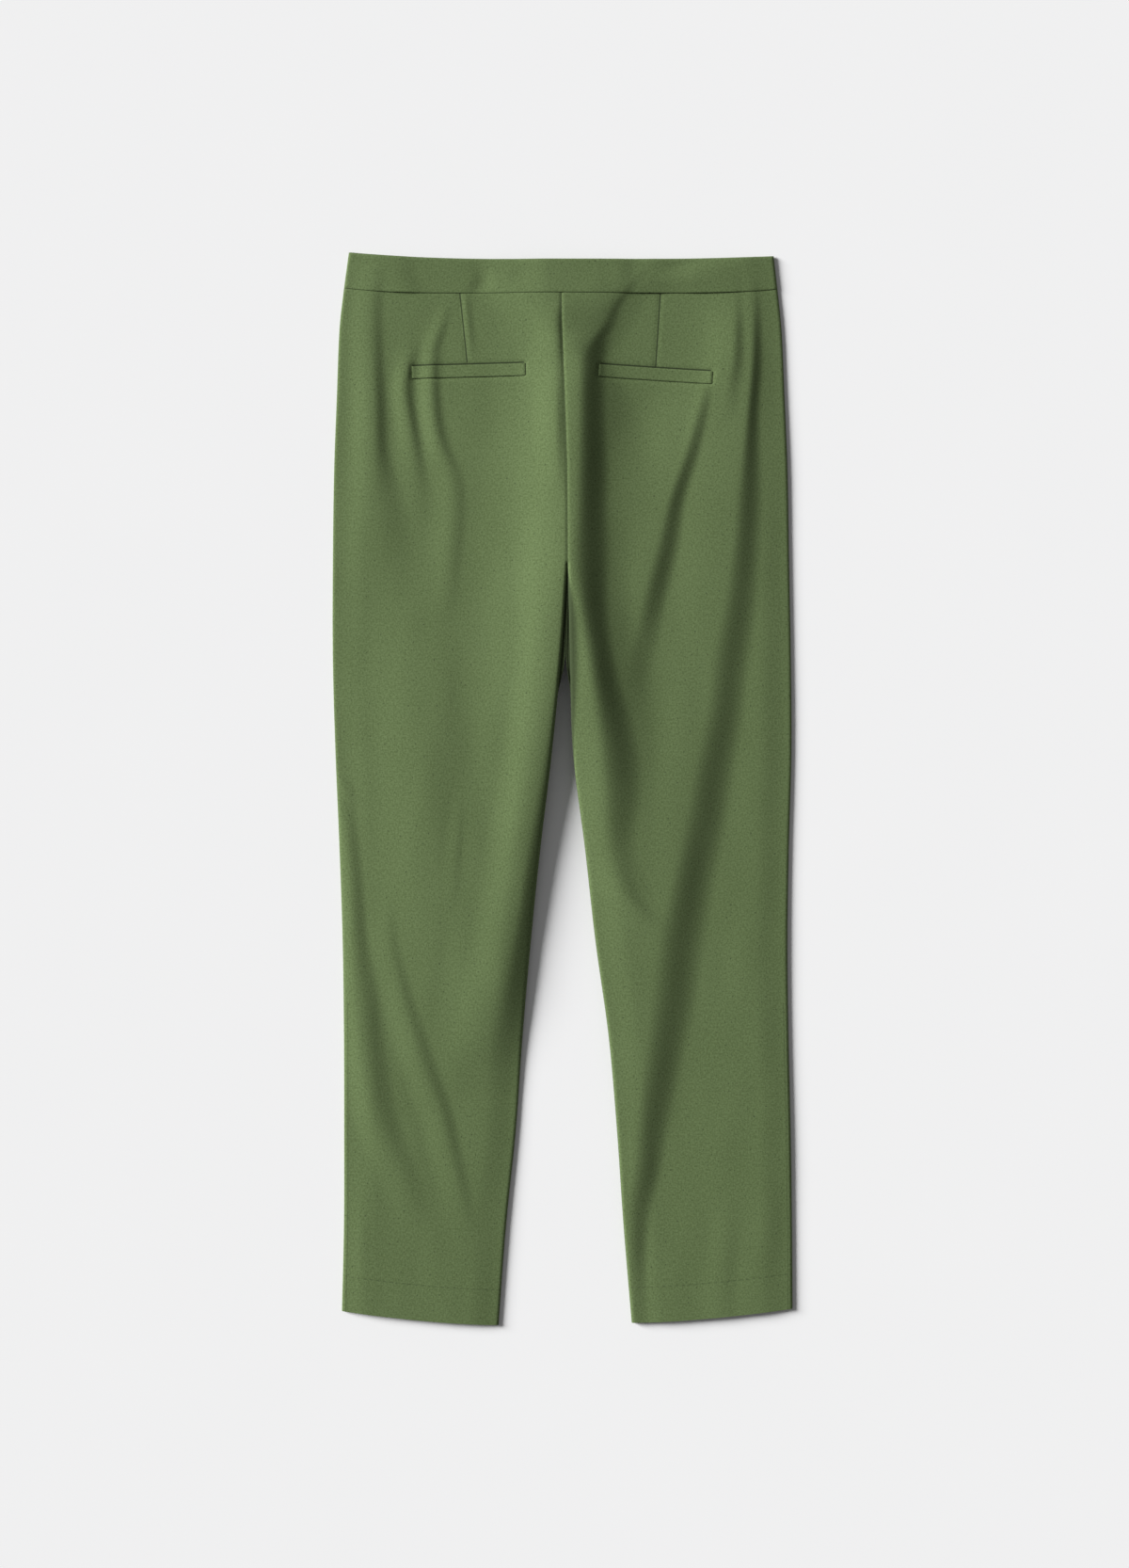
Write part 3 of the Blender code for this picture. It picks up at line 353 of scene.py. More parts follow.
# Fine creases, added to the folds of the seat side and of the fronts.
LEFT_CREASES = {
    "centre_fall": fold(
        (0.048, -0.0100, 0.0000, 0.020, 0.007),
        (0.067, -0.0095, 0.0012, 0.024, 0.007),
        (0.085, -0.0092, 0.0016, 0.026, 0.008),
        (0.110, -0.0088, 0.0011, 0.026, 0.008),
        (0.142, -0.0085, 0.0016, 0.026, 0.008),
        (0.168, -0.0080, 0.0017, 0.026, 0.008),
        (0.204, -0.0070, 0.0008, 0.024, 0.008),
        (0.232, -0.0060, 0.0000, 0.022, 0.008),
    ),
    "seat_crease": fold(
        (0.085, -0.1412, 0.0000, 0.010, 0.010),
        (0.125, -0.1500, 0.0009, 0.014, 0.008),
        (0.160, -0.1450, 0.0009, 0.016, 0.009),
        (0.225, -0.1330, 0.0000, 0.014, 0.010),
    ),
    "welt_crease": fold(
        (0.045, -0.1090, 0.0000, 0.010, 0.008),
        (0.072, -0.1170, 0.0007, 0.012, 0.008),
        (0.094, -0.1240, 0.0007, 0.012, 0.008),
        (0.140, -0.1230, 0.0009, 0.014, 0.008),
        (0.177, -0.1180, 0.0008, 0.014, 0.009),
        (0.212, -0.1016, 0.0004, 0.016, 0.010),
        (0.292, -0.1060, 0.0004, 0.018, 0.012),
        (0.360, -0.1150, 0.0000, 0.018, 0.014),
    ),
    "waist_crease": fold(
        (0.036, -0.0935, 0.0000, 0.008, 0.006),
        (0.048, -0.0925, 0.0006, 0.008, 0.006),
        (0.075, -0.0900, 0.0007, 0.008, 0.006),
        (0.100, -0.0880, 0.0000, 0.008, 0.007),
    ),
    "side_pucker": fold(
        (0.485, -0.2120, 0.0000, 0.006, 0.010),
        (0.502, -0.2060, 0.0007, 0.006, 0.012),
        (0.520, -0.1960, 0.0000, 0.008, 0.014),
    ),
    "shin_line": fold(
        (0.500, -0.0972, 0.0000, 0.010, 0.008),
        (0.550, -0.1010, 0.0004, 0.012, 0.007),
        (0.612, -0.1060, 0.0000, 0.012, 0.008),
    ),
    "hem_wave": fold(
        (0.860, -0.1914, 0.0000, 0.014, 0.012),
        (0.930, -0.1914, 0.0005, 0.016, 0.012),
        (1.002, -0.1914, 0.0003, 0.016, 0.012),
    ),
}
RIGHT_CREASES = {
    "hip_crease": fold(
        (0.040, 0.1606, 0.0000, 0.010, 0.007),
        (0.098, 0.1624, 0.0004, 0.012, 0.007),
        (0.133, 0.1562, 0.0004, 0.012, 0.008),
        (0.160, 0.1500, 0.0000, 0.012, 0.009),
    ),
    "welt_crease": fold(
        (0.120, 0.1340, 0.0000, 0.010, 0.006),
        (0.150, 0.1290, 0.0005, 0.014, 0.006),
        (0.190, 0.1200, 0.0003, 0.016, 0.008),
        (0.240, 0.1040, 0.0000, 0.016, 0.010),
    ),
    "shin_v": fold(
        (0.560, 0.0420, 0.0000, 0.020, 0.020),
        (0.600, 0.0560, 0.0010, 0.022, 0.016),
        (0.634, 0.0870, 0.0000, 0.024, 0.016),
    ),
    "hem_wave": fold(
        (0.880, 0.1500, 0.0000, 0.020, 0.016),
        (0.940, 0.1480, 0.0005, 0.020, 0.016),
        (1.002, 0.1460, 0.0003, 0.020, 0.016),
    ),
}
CREASES = {"left": LEFT_CREASES, "right": RIGHT_CREASES}
LEFT_FRONT_CREASES = {
    "hip": fold(
        (0.090, -0.1500, 0.0000, 0.020, 0.014),
        (0.190, -0.1380, 0.0007, 0.024, 0.016),
        (0.310, -0.1180, 0.0000, 0.024, 0.020),
    ),
    "shin": fold(
        (0.560, -0.1900, 0.0000, 0.020, 0.016),
        (0.700, -0.1640, 0.0008, 0.024, 0.018),
        (0.880, -0.1240, 0.0000, 0.024, 0.020),
    ),
}
RIGHT_FRONT_CREASES = {
    "hip": fold(
        (0.080, 0.1460, 0.0000, 0.018, 0.016),
        (0.170, 0.1380, 0.0006, 0.020, 0.016),
        (0.280, 0.1200, 0.0000, 0.022, 0.018),
    ),
    "shin": fold(
        (0.540, 0.1560, 0.0000, 0.022, 0.018),
        (0.680, 0.1400, 0.0009, 0.024, 0.018),
        (0.860, 0.1180, 0.0000, 0.024, 0.020),
    ),
}
FRONT_CREASES = {"left": LEFT_FRONT_CREASES, "right": RIGHT_FRONT_CREASES}

# Soft waves of the waistband alone.  A negative rise is a trough.
BAND_FOLDS = {
    "side_left": fold(
        (0.000, -0.1560, 0.0004, 0.030, 0.020),
        (0.020, -0.1560, 0.0009, 0.030, 0.020),
        (0.040, -0.1480, 0.0012, 0.030, 0.024),
    ),
    "dimple": fold(
        (0.008, -0.0840, 0.0000, 0.012, 0.012),
        (0.016, -0.0790, -0.0005, 0.013, 0.013),
        (0.024, -0.0755, -0.0009, 0.013, 0.013),
        (0.033, -0.0790, -0.0009, 0.014, 0.016),
        (0.042, -0.0830, -0.0003, 0.014, 0.016),
    ),
    "hollow": fold(
        (0.010, -0.0300, 0.0000, 0.016, 0.040),
        (0.022, -0.0420, -0.0004, 0.014, 0.040),
        (0.034, -0.0300, 0.0000, 0.016, 0.040),
    ),
    "ease": fold(
        (0.000, 0.0660, 0.0006, 0.030, 0.040),
        (0.018, 0.0640, 0.0010, 0.030, 0.040),
        (0.030, 0.0660, 0.0010, 0.028, 0.036),
        (0.040, 0.0660, 0.0004, 0.020, 0.030),
    ),
    "past_ridge": fold(
        (0.000, 0.0820, 0.0009, 0.022, 0.036),
        (0.014, 0.0815, 0.0013, 0.022, 0.036),
        (0.026, 0.0800, 0.0013, 0.022, 0.036),
        (0.036, 0.0790, 0.0008, 0.022, 0.036),
        (0.042, 0.0780, 0.0004, 0.022, 0.036),
    ),
    "side_right": fold(
        (0.006, 0.1500, 0.0000, 0.030, 0.036),
        (0.016, 0.1280, 0.0014, 0.040, 0.054),
        (0.026, 0.1200, 0.0022, 0.040, 0.060),
        (0.034, 0.1280, 0.0014, 0.040, 0.054),
        (0.042, 0.1400, 0.0006, 0.036, 0.044),
    ),
}

# ---- grids and marks
BACK_STEP = 0.0022      # spacing of the points on the seat side
FRONT_STEP = 0.0040
BAND_STEP = 0.0020
BAND_ROWS = 18
WELT_STEPS = (0.0012, 0.0006)
LEG_WIDTH = 0.190       # a usual one, for the number of columns
END_ROWS = np.array([0.0, 0.0008, 0.0018])      # closer rows at a panel's two ends
END_ZONE = 0.003
TURN_STEPS = 5          # columns over a rolled edge
FORK_ZONE = 0.012       # rows stand closer within this of the fork
FORK_STEP = 0.0010
SHARP_EDGE = math.radians(55)
SIDE = {"left": 1, "right": -1}

FAR = 0.050             # a mark's distance where the mark isn't
MARKS = ("dart_line", "painted_fork_shade", "hem_stitch", "pocket_mouth", "pocket_seam", "side_line")
DEEP_MARKS = ("painted_fork_shade",)    # the painted shade, drawn on a shell's inner face too
SIDE_LINE_START = 0.70
SIDE_LINE_INSET = 0.0040
# Painted shade at the fork: the inseams darken in colour where they turn under between the legs.
Shade = namedtuple("Shade", "legs reach growth end fade")
FRONT_PAINTED_SHADE = Shade(("left", "right"), 0.030, 0.012, FILL_END, FILL_FADE)
BACK_PAINTED_SHADE = Shade(("right",), 0.013, 0.060, 0.370, 0.130)

# ---- fine relief
Ditch = namedtuple("Ditch", "depth half_width")
CENTRE_DITCH = Ditch(0.0005, 0.0013)
WAIST_DITCH = Ditch(0.0002, 0.0012)
DART_DITCH = Ditch(0.0005, 0.0013)
DART_ENDS = 0.02        # a dart's ditch runs on by this share of its length
WELT_BED = 0.0010       # the panel sinks this far under a welt
WELT_BED_EDGE = 0.0005
WELT_BED_RAMP = 0.0030
WELT_MARGINS = (0.0003, 0.0002)     # above and below a welt, in its bed
WELT_CROWN = 0.0005
WELT_ROUNDING = 0.0014
WAVE_SEED = 11
WAVES = 14
WAVE_TURN = 0.55
WAVE_LENGTHS = (0.022, 0.070)
WAVE_STRETCH = 0.6
WAVE_SLOPE = 0.00055    # a wave's height for each metre of its length
BAND_TOP_FALL = 0.0010
BAND_SEAM_FALL = 0.0003
BAND_TOP_TURN = 2.4     # the band's edges turn this much faster than a leg's
BAND_SEAM_TURN = 2.8
FRONT_FALL = 0.8        # the front bands' edges fall by this share of the back's


# ---- reading the tables
def smooth(share):
    share = np.clip(share, 0.0, 1.0)
    return share * share * (3.0 - 2.0 * share)


def along(rows, column, down):
    """A table's column at each level, as a smooth curve through its rows."""
    downs = np.array([row.down for row in rows])
    values = np.array([getattr(row, column) for row in rows], float)
    low = np.maximum(np.arange(len(rows)) - 1, 0)
    high = np.minimum(np.arange(len(rows)) + 1, len(rows) - 1)
    slopes = (values[high] - values[low]) / (downs[high] - downs[low])
    down = np.clip(down, downs[0], downs[-1])
    i = np.clip(np.searchsorted(downs, down, side="right") - 1, 0, len(rows) - 2)
    span = downs[i + 1] - downs[i]
    t = (down - downs[i]) / span
    return (
        values[i] * (1 + 2 * t) * (1 - t) ** 2
        + slopes[i] * span * t * (1 - t) ** 2
        + values[i + 1] * t * t * (3 - 2 * t)
        + slopes[i + 1] * span * t * t * (t - 1)
    )


def outer_edge(leg, down):
    return along(LEVELS, leg + "_outer", down)


def inner_edge(leg, down):
    """Centre seam above the fork and inseam below it, half a seam gap back."""
    seat = along(SEAT_LEVELS, leg + "_inner", down)
    lower = along(LEG_LEVELS, leg + "_inner", down)
    return np.where(down <= CROTCH, seat, lower) - SIDE[leg] * SEAM_GAP / 2


def waist_top(x):
    rise = np.where(x < 0, TOP_DIP, TOP_DIP_RIGHT)
    return TOP_DIP - rise * np.minimum(1.0, abs(x) / HALF_WAIST) ** 3


def waist_seam(x):
    return SEAM_DOWN - SEAM_SAG * np.minimum(1.0, abs(x) / HALF_WAIST) ** 6


def hem_line(leg, share):
    """share runs from 0 at a leg's outer edge to 1 at its inner edge."""
    return LENGTH - HEM_LIFT[leg] - HEM_RISE * (1.0 - share) ** HEM_CURVE


def place(x, down, z):
    """Points of the scene, from places on the garment and heights."""
    return np.stack([x, TOP_Y - down, z], axis=-1)


# ---- heights of the cloth
def crests(folds, x, down):
    """Summed height of a set of folds at each place."""
    height = np.zeros(np.broadcast(x, down).shape)
    for rows in folds.values():
        offset = x - along(rows, "across", down)
        left, right = along(rows, "left", down), along(rows, "right", down)
        reach = np.where(offset > 0, right, left)
        rise = along(rows, "rise", down)
        if max(row.rise for row in rows) > 0:
            rise = np.maximum(rise, 0.0)
        share = np.clip(abs(offset) / reach, 0.0, 1.0)
        inside = (down >= rows[0].down) & (down <= rows[-1].down)
        height = height + inside * rise * 0.5 * (1.0 + np.cos(math.pi * share))
    return height


def inner_distance(leg, x, down):
    """Distance to the gap between the legs, whose highest point is the fork."""
    fork = inner_edge(leg, CROTCH)
    return np.where(
        down >= CROTCH,
        abs(inner_edge(leg, down) - x),
        np.hypot(fork - x, CROTCH - down),
    )


def bump(x, down, centre, reach):
    """1 over the middle of a bump and 0 beyond its reach, with a level top."""
    distance = np.hypot((x - centre[0]) / reach[0], (down - centre[1]) / reach[1])
    return smooth(LEVEL_TOP * (1.0 - distance))


def lift(x, down):
    """How far the button holds the front of the waist off the table."""
    return BUTTON_LIFT * bump(x, down, BUTTON_CENTRE, LIFT_REACH)


def bottom_height(leg, x, down):
    """Outer face of the lower layer: it follows the large folds of the upper one."""
    above = crests(FOLDS[leg], x, down)
    low = above < 2 * LAYER_ROOM
    followed = np.where(low, above * above / (4 * LAYER_ROOM), above - LAYER_ROOM)
    return lift(x, down) + followed


def top_height(leg, x, down):
    """Outer face of the upper layer before its edges roll over."""
    swell = smooth(abs(x - outer_edge(leg, down)) / EDGE_REACH)
    fade = smooth((down - CROTCH) / FORK_FADE)
    swell = swell * (1 - fade * (1 - smooth(abs(x - inner_edge(leg, down)) / EDGE_REACH)))
    loft = LOFT + (HEM_LOFT - LOFT) * smooth(down / LENGTH)
    body = loft * (EDGE_SHARE + (1 - EDGE_SHARE) * swell)
    bulge = FLY_BULGE * bump(x, down, FLY_CENTRE, BULGE_REACH)
    return body + bulge + lift(x, down) + crests(FOLDS[leg], x, down)


def roll(distance):
    """0 at an edge and 1 at the end of its turn, as a quarter of a circle."""
    share = np.clip(distance / EDGE_TURN, 0.0, 1.0)
    return np.sqrt(1.0 - (1.0 - share) ** 2)


def seam_height(leg, edge, down):
    x = edge(leg, down)
    return (top_height(leg, x, down) + bottom_height(leg, x, down)) / 2


def rolled(leg, x, down, height, seam_shift):
    """A height with both edges of the leg rolled to their seams."""
    side = seam_height(leg, outer_edge, down) + seam_shift
    height = side + (height - side) * roll(abs(x - outer_edge(leg, down)))
    inner = seam_height(leg, inner_edge, np.maximum(down, CROTCH)) + seam_shift
    return inner + (height - inner) * roll(inner_distance(leg, x, down))


def sunk(distance, ditch):
    """How deep a ditch is at a distance from its middle line."""
    return ditch.depth * np.exp(-((distance / ditch.half_width) ** 2))


def welt_place(leg, x, down):
    """A place in a welt's own frame: along it from its middle, and down across it."""
    welt = WELTS[leg]
    across, below = x - welt.across, down - welt.down
    u = across * math.cos(welt.turn) + below * math.sin(welt.turn)
    v = below * math.cos(welt.turn) - across * math.sin(welt.turn)
    return u, v


def dart_distance(leg, x, down):
    """Signed distance from a dart's stitching, and FAR beyond its ends."""
    dart = DARTS[leg]
    share = (down - dart.top_down) / (dart.foot_down - dart.top_down)
    line = dart.top_across + (dart.foot_across - dart.top_across) * share
    return np.where((share < -DART_ENDS) | (share > 1 + DART_ENDS), FAR, x - line)


def unevenness(x, down, seed):
    """Shallow slow waves that keep a flat stretch of cloth from looking ruled."""
    turn = np.random.default_rng(seed)
    height = np.zeros(np.broadcast(x, down).shape)
    for _ in range(WAVES):
        angle = turn.uniform(-WAVE_TURN, WAVE_TURN)
        length = turn.uniform(*WAVE_LENGTHS)
        phase = turn.uniform(0.0, 2 * math.pi)
        run = x * math.cos(angle) + down * math.sin(angle) * WAVE_STRETCH
        height = height + np.sin(2 * math.pi * run / length + phase) * length
    return height * WAVE_SLOPE


def seat_details(leg, x, down):
    """Fine creases, seams and the bed of the welt on the seat side."""
    height = crests(CREASES[leg], x, down) + unevenness(x, down, WAVE_SEED + SIDE[leg])
    centre = abs(x - inner_edge(leg, down)) + np.where(down < CROTCH, 0.0, FAR)
    height = height - sunk(centre, CENTRE_DITCH)
    height = height - sunk(down - waist_seam(x), WAIST_DITCH)
    height = height - sunk(dart_distance(leg, x, down), DART_DITCH)
    u, v = welt_place(leg, x, down)
    outside = np.maximum(abs(u) - WELT_LENGTH / 2, abs(v) - WELT_DEPTH / 2)
    return height - WELT_BED * (1 - smooth((outside + WELT_BED_EDGE) / WELT_BED_RAMP))


def seat_height(leg, x, down):
    """The dressed outer face of the seat side."""
    plain = rolled(leg, x, down, top_height(leg, x, down), SEAM_GAP / 2)
    details = seat_details(leg, x, down) * roll(abs(x - outer_edge(leg, down)))
    return plain + details * roll(inner_distance(leg, x, down))


def front_height(leg, x, down):
    plain = rolled(leg, x, down, bottom_height(leg, x, down), -SEAM_GAP / 2)
    return plain + crests(FRONT_CREASES[leg], x, down)


# ---- shells of cloth
def spaced(start, end, step):
    return np.linspace(start, end, max(2, int(round((end - start) / step)) + 1))


def turn_insets():
    """Distances of the columns from an edge, evenly round its turn."""
    angles = np.linspace(0.0, math.pi / 2, TURN_STEPS + 1)
    return EDGE_TURN * (1 - np.cos(angles))


def panel_shares(step):
    """Levels of a panel's rows, as shares of the way from waist seam to hem."""
    downs = np.concatenate([
        SEAM_DOWN + END_ROWS,
        spaced(SEAM_DOWN + END_ZONE, CROTCH - FORK_ZONE, step),
        spaced(CROTCH - FORK_ZONE, CROTCH + FORK_ZONE, FORK_STEP)[1:-1],
        spaced(CROTCH + FORK_ZONE, LENGTH - END_ZONE, step),
        LENGTH - END_ROWS[::-1],
    ])
    return (downs - SEAM_DOWN) / (LENGTH - SEAM_DOWN)


def panel_places(leg, step):
    """x and down of every point of a leg panel, row by row from the waist seam."""
    share = panel_shares(step)[:, None]
    nominal = SEAM_DOWN + share * (LENGTH - SEAM_DOWN)
    width = abs(inner_edge(leg, nominal) - outer_edge(leg, nominal))
    middle = spaced(0.0, 1.0, step / LEG_WIDTH)[None, :]
    turns = turn_insets()[None, :]
    insets = np.hstack([
        np.broadcast_to(turns[:, :-1], (len(share), TURN_STEPS)),
        EDGE_TURN + middle * (width - 2 * EDGE_TURN),
        width - turns[:, -2::-1],
    ])
    across = insets / width
    start = waist_seam(outer_edge(leg, nominal) + SIDE[leg] * insets) + SEAM_GAP
    down = start + share * (hem_line(leg, across) - start)
    outer, inner = outer_edge(leg, down), inner_edge(leg, down)
    return outer + (inner - outer) * across, down


def normals_of(grid, up):
    """Unit normals of a grid of points, on the side where up is positive."""
    normal = np.cross(np.gradient(grid, axis=1), np.gradient(grid, axis=0))
    normal /= np.linalg.norm(normal, axis=2, keepdims=True)
    return normal * np.sign(normal[:, :, 2].mean()) * up


def add_object(name, data):
    made = bpy.data.objects.new(name, data)
    bpy.context.scene.collection.objects.link(made)
    return made


def ring(rows, columns):
    """Indices of a grid's border, in order round it."""
    index = np.arange(rows * columns).reshape(rows, columns)
    return np.concatenate([
        index[0, :], index[1:, -1], index[-1, -2::-1], index[-2:0:-1, 0],
    ])


def shell(name, grid, normals, thickness, material, marks):
    """A closed shell: the grid is its outer face, and thickness lies inside it.

    Marks are drawn on the outer face, and the deep ones, a painted shade, on the inner face too.
    """
    rows, columns = grid.shape[:2]
    count = rows * columns
    inner = grid - normals * np.broadcast_to(thickness, (rows, columns))[:, :, None]
    index = np.arange(count).reshape(rows, columns)
    face = np.stack(
        [index[:-1, :-1], index[:-1, 1:], index[1:, 1:], index[1:, :-1]], axis=-1
    ).reshape(-1, 4)
    border = ring(rows, columns)
    beyond = np.roll(border, -1)
    rim = np.stack([beyond, border, border + count, beyond + count], axis=-1)
    faces = np.vstack([face, face[:, ::-1] + count, rim])
    corner = grid[:2, :2]
    facing = np.cross(corner[0, 1] - corner[0, 0], corner[1, 0] - corner[0, 0])
    if np.dot(facing, normals[0, 0]) < 0:
        faces = faces[:, ::-1]
    mesh = bpy.data.meshes.new(name)
    points = np.vstack([grid.reshape(-1, 3), inner.reshape(-1, 3)])
    mesh.from_pydata(points.tolist(), [], faces.tolist())
    run = np.linalg.norm(np.diff(grid, axis=1), axis=2)
    u = np.hstack([np.zeros((rows, 1)), np.cumsum(run, axis=1)]) + grid[:1, :1, 0]
    uv = np.stack([u, grid[:, :, 1]], axis=-1).reshape(-1, 2)
    uv = np.vstack([uv, uv])
    layer = mesh.uv_layers.new(name="cloth")
    corners = np.empty(len(mesh.loops), np.int32)
    mesh.loops.foreach_get("vertex_index", corners)
    layer.data.foreach_set("uv", uv[corners].ravel())
    for mark in MARKS:
        values = np.broadcast_to(marks.get(mark, FAR), (rows, columns)).ravel()
        attribute = mesh.attributes.new(mark, "FLOAT", "POINT")
        inside = values if mark in DEEP_MARKS else np.full(count, FAR)
        attribute.data.foreach_set("value", np.concatenate([values, inside]))
    mesh.shade_smooth()
    mesh.set_sharp_from_angle(angle=SHARP_EDGE)
    mesh.materials.append(material)
    return add_object(name, mesh)


def square_edges(normals, down, leg):
    """Cut edges stand square: level at the side seam and inseam, upright at the centre."""
    down = down[:, -1]
    normals[:, 0] = (-SIDE[leg], 0.0, 0.0)
    upright = normals[:, -1] * np.array([0.0, 1.0, 1.0])
    upright /= np.linalg.norm(upright, axis=1, keepdims=True)
    normals[:, -1] = np.where((down < CROTCH)[:, None], upright, (SIDE[leg], 0.0, 0.0))
    fork = abs(down - CROTCH) < FORK_STEP / 2
    normals[fork, -1] = (0.0, -1.0, 0.0)


def painted_fork_shade(shade, leg, x, down):
    """Painted shade: 0 on an inseam where it turns under at the fork, rising to FAR out of it.
    """
    deep = smooth((down - CROTCH) / shade.growth) * (1 - smooth((down - shade.end) / shade.fade))
    share = smooth(inner_distance(leg, x, down) / np.maximum(shade.reach * deep, SEAM_GAP))
    return FAR * np.where((down > CROTCH) & (leg in shade.legs), share, 1.0)


def panel_marks(leg, x, down):
    """Signed distances that the material draws its seams and stitches from, and the painted
    shade at the fork.
    """
    u, v = welt_place(leg, x, down)
    beyond = abs(u) > WELT_LENGTH / 2
    across = abs(x - outer_edge(leg, down))
    share = across / abs(inner_edge(leg, down) - outer_edge(leg, down))
    return {
        "dart_line": dart_distance(leg, x, down),
        "hem_stitch": hem_line(leg, share) - HEM_DEPTH - down,
        "painted_fork_shade": painted_fork_shade(BACK_PAINTED_SHADE, leg, x, down),
        "pocket_mouth": np.where(beyond, FAR, v + WELT_DEPTH / 2 + SEAM_GAP),
        "side_line": np.where(down > SIDE_LINE_START, across - SIDE_LINE_INSET, FAR),
    }


def fork_fill(leg, x, down):
    """How far a front bulges past its inseam into the top of the gap between the legs."""
    gap = inner_edge("right", down) - inner_edge("left", down) - SEAM_GAP
    closed = 1 - smooth((down - FILL_END) / FILL_FADE)
    near = 1 - smooth(inner_distance(leg, x, down) / FILL_REACH)
    return np.where(down <= CROTCH, 0.0, SIDE[leg] * gap / 2 * closed * near)


def leg_panel(name, leg, height, up, step, material):
    """One side of a leg; up is 1 for the seat side and -1 for the front."""
    x, down = panel_places(leg, step)
    bulge = fork_fill(leg, x, down) if up < 0 else 0.0
    grid = place(x + bulge, down, height(leg, x, down))
    normals = normals_of(grid, up)
    square_edges(normals, down, leg)
    if up > 0:
        marks = panel_marks(leg, x, down)
    else:
        # the fronts carry only the painted shade at the fork
        marks = {"painted_fork_shade": painted_fork_shade(FRONT_PAINTED_SHADE, leg, x, down)}
    return shell(name, grid, normals, CLOTH, material, marks)


# ---- waistband
def by_side(x, value):
    """A leg's function taken on each side of the centre."""
    return np.where(x < 0, value("left"), value("right"))


def band_places(xs):
    """Rows run from the top edge to the waist seam; ends follow the side edges."""
    share = np.linspace(0.0, 1.0, BAND_ROWS)[:, None]
    share = 0.5 - 0.5 * np.cos(math.pi * share)
    x = np.broadcast_to(xs[None, :], (len(share), len(xs)))
    down = waist_top(x) + share * (waist_seam(x) - waist_top(x))
    ratio = by_side(x, lambda leg: outer_edge(leg, down) / outer_edge(leg, SEAM_DOWN))
    return x * ratio, down


def band_columns(leg):
    """Across-positions from the side edge to the centre."""
    edge = outer_edge(leg, SEAM_DOWN)
    width = abs(inner_edge(leg, SEAM_DOWN) - edge)
    insets = np.concatenate([turn_insets()[:-1], spaced(EDGE_TURN, width, BAND_STEP)])
    return edge + SIDE[leg] * insets


def edge_fall(x, down):
    """The band's two long edges, rounded over the fold and pressed into the seam."""
    top = 1 - roll((down - waist_top(x)) * BAND_TOP_TURN)
    seam = 1 - roll((waist_seam(x) - down) * BAND_SEAM_TURN)
    return BAND_TOP_FALL * top + BAND_SEAM_FALL * seam


def band_back(material):
    xs = np.concatenate([band_columns("left"), band_columns("right")[-2::-1]])
    x, down = band_places(xs)
    side = by_side(x, lambda leg: seam_height(leg, outer_edge, down)) + SEAM_GAP / 2
    top = by_side(x, lambda leg: top_height(leg, x, down)) + BAND_PROUD
    top = top + crests(BAND_FOLDS, x, down) - edge_fall(x, down)
    turned = by_side(x, lambda leg: roll(abs(x - outer_edge(leg, down))))
    grid = place(x, down, side + (top - side) * turned)
    normals = normals_of(grid, 1)
    normals[:, 0] = (-1.0, 0.0, 0.0)
    normals[:, -1] = (1.0, 0.0, 0.0)
    flat = (abs(xs - xs[0]) > EDGE_TURN) & (abs(xs - xs[-1]) > EDGE_TURN)
    thickness = np.where(flat, DOUBLE, CLOTH)[None, :]
    return shell("band_back_cloth", grid, normals, thickness, material, {})


def band_front(leg, material):
    """The right band ends at the centre line, and the left one runs on behind it."""
    xs = band_columns(leg)
    centre = xs[-1]
    if leg == "left":
        xs = np.concatenate([xs, spaced(centre, centre + UNDERLAP, BAND_STEP)[1:]])
    x, down = band_places(xs)
    side = seam_height(leg, outer_edge, down) - SEAM_GAP / 2
    bottom = bottom_height(leg, x, down)
    if leg == "left":
        bottom = bottom + (DOUBLE + SEAM_GAP) * smooth((x - centre + LAP_RAMP) / LAP_RAMP)
    bottom = bottom + edge_fall(x, down) * FRONT_FALL
    grid = place(x, down, side + (bottom - side) * roll(abs(x - outer_edge(leg, down))))
    normals = normals_of(grid, -1)
    normals[:, 0] = (-SIDE[leg], 0.0, 0.0)
    flat = abs(xs - xs[0]) > EDGE_TURN
    thickness = np.where(flat, DOUBLE, CLOTH)[None, :]
    return shell(f"band_front_{leg}_cloth", grid, normals, thickness, material, {})


# ---- welts and zip
def welt_strip(leg, material):
    """A folded strip of cloth that lies in its bed on the panel."""
    welt = WELTS[leg]
    above, below = WELT_MARGINS
    u = spaced(-WELT_LENGTH / 2, WELT_LENGTH / 2, WELT_STEPS[0])[None, :]
    v = spaced(-WELT_DEPTH / 2 + above, WELT_DEPTH / 2 - below, WELT_STEPS[1])[:, None]
    x = welt.across + u * math.cos(welt.turn) - v * math.sin(welt.turn)
    down = welt.down + v * math.cos(welt.turn) + u * math.sin(welt.turn)
    rim = np.minimum(WELT_LENGTH / 2 - abs(u), WELT_DEPTH / 2 - abs(v))
    rounding = np.clip(1 - (1 - np.clip(rim / WELT_ROUNDING, 0, 1)) ** 2, 0, 1)
    crown = WELT_CROWN * (np.sqrt(rounding) - 1)
    grid = place(x, down, seat_height(leg, x, down) + SEAM_GAP + CLOTH + crown)
    normals = normals_of(grid, 1)
    marks = {"pocket_seam": np.broadcast_to(WELT_DEPTH / 2 - v, x.shape)}
    return shell(f"welt_{leg}_cloth", grid, normals, CLOTH, material, marks)


TOOTH_PITCH = 0.0017
TOOTH_HALF = (0.0019, 0.0006, 0.0004)       # half its size along each axis
TOOTH_STAGGER = 0.0006
TAPE_ENDS = (0.004, 0.002)      # bare tape at the foot and at the top
BOX_FACES = ((0, 1, 3, 2), (4, 6, 7, 5), (0, 4, 5, 1), (2, 3, 7, 6), (0, 2, 6, 4), (1, 5, 7, 3))


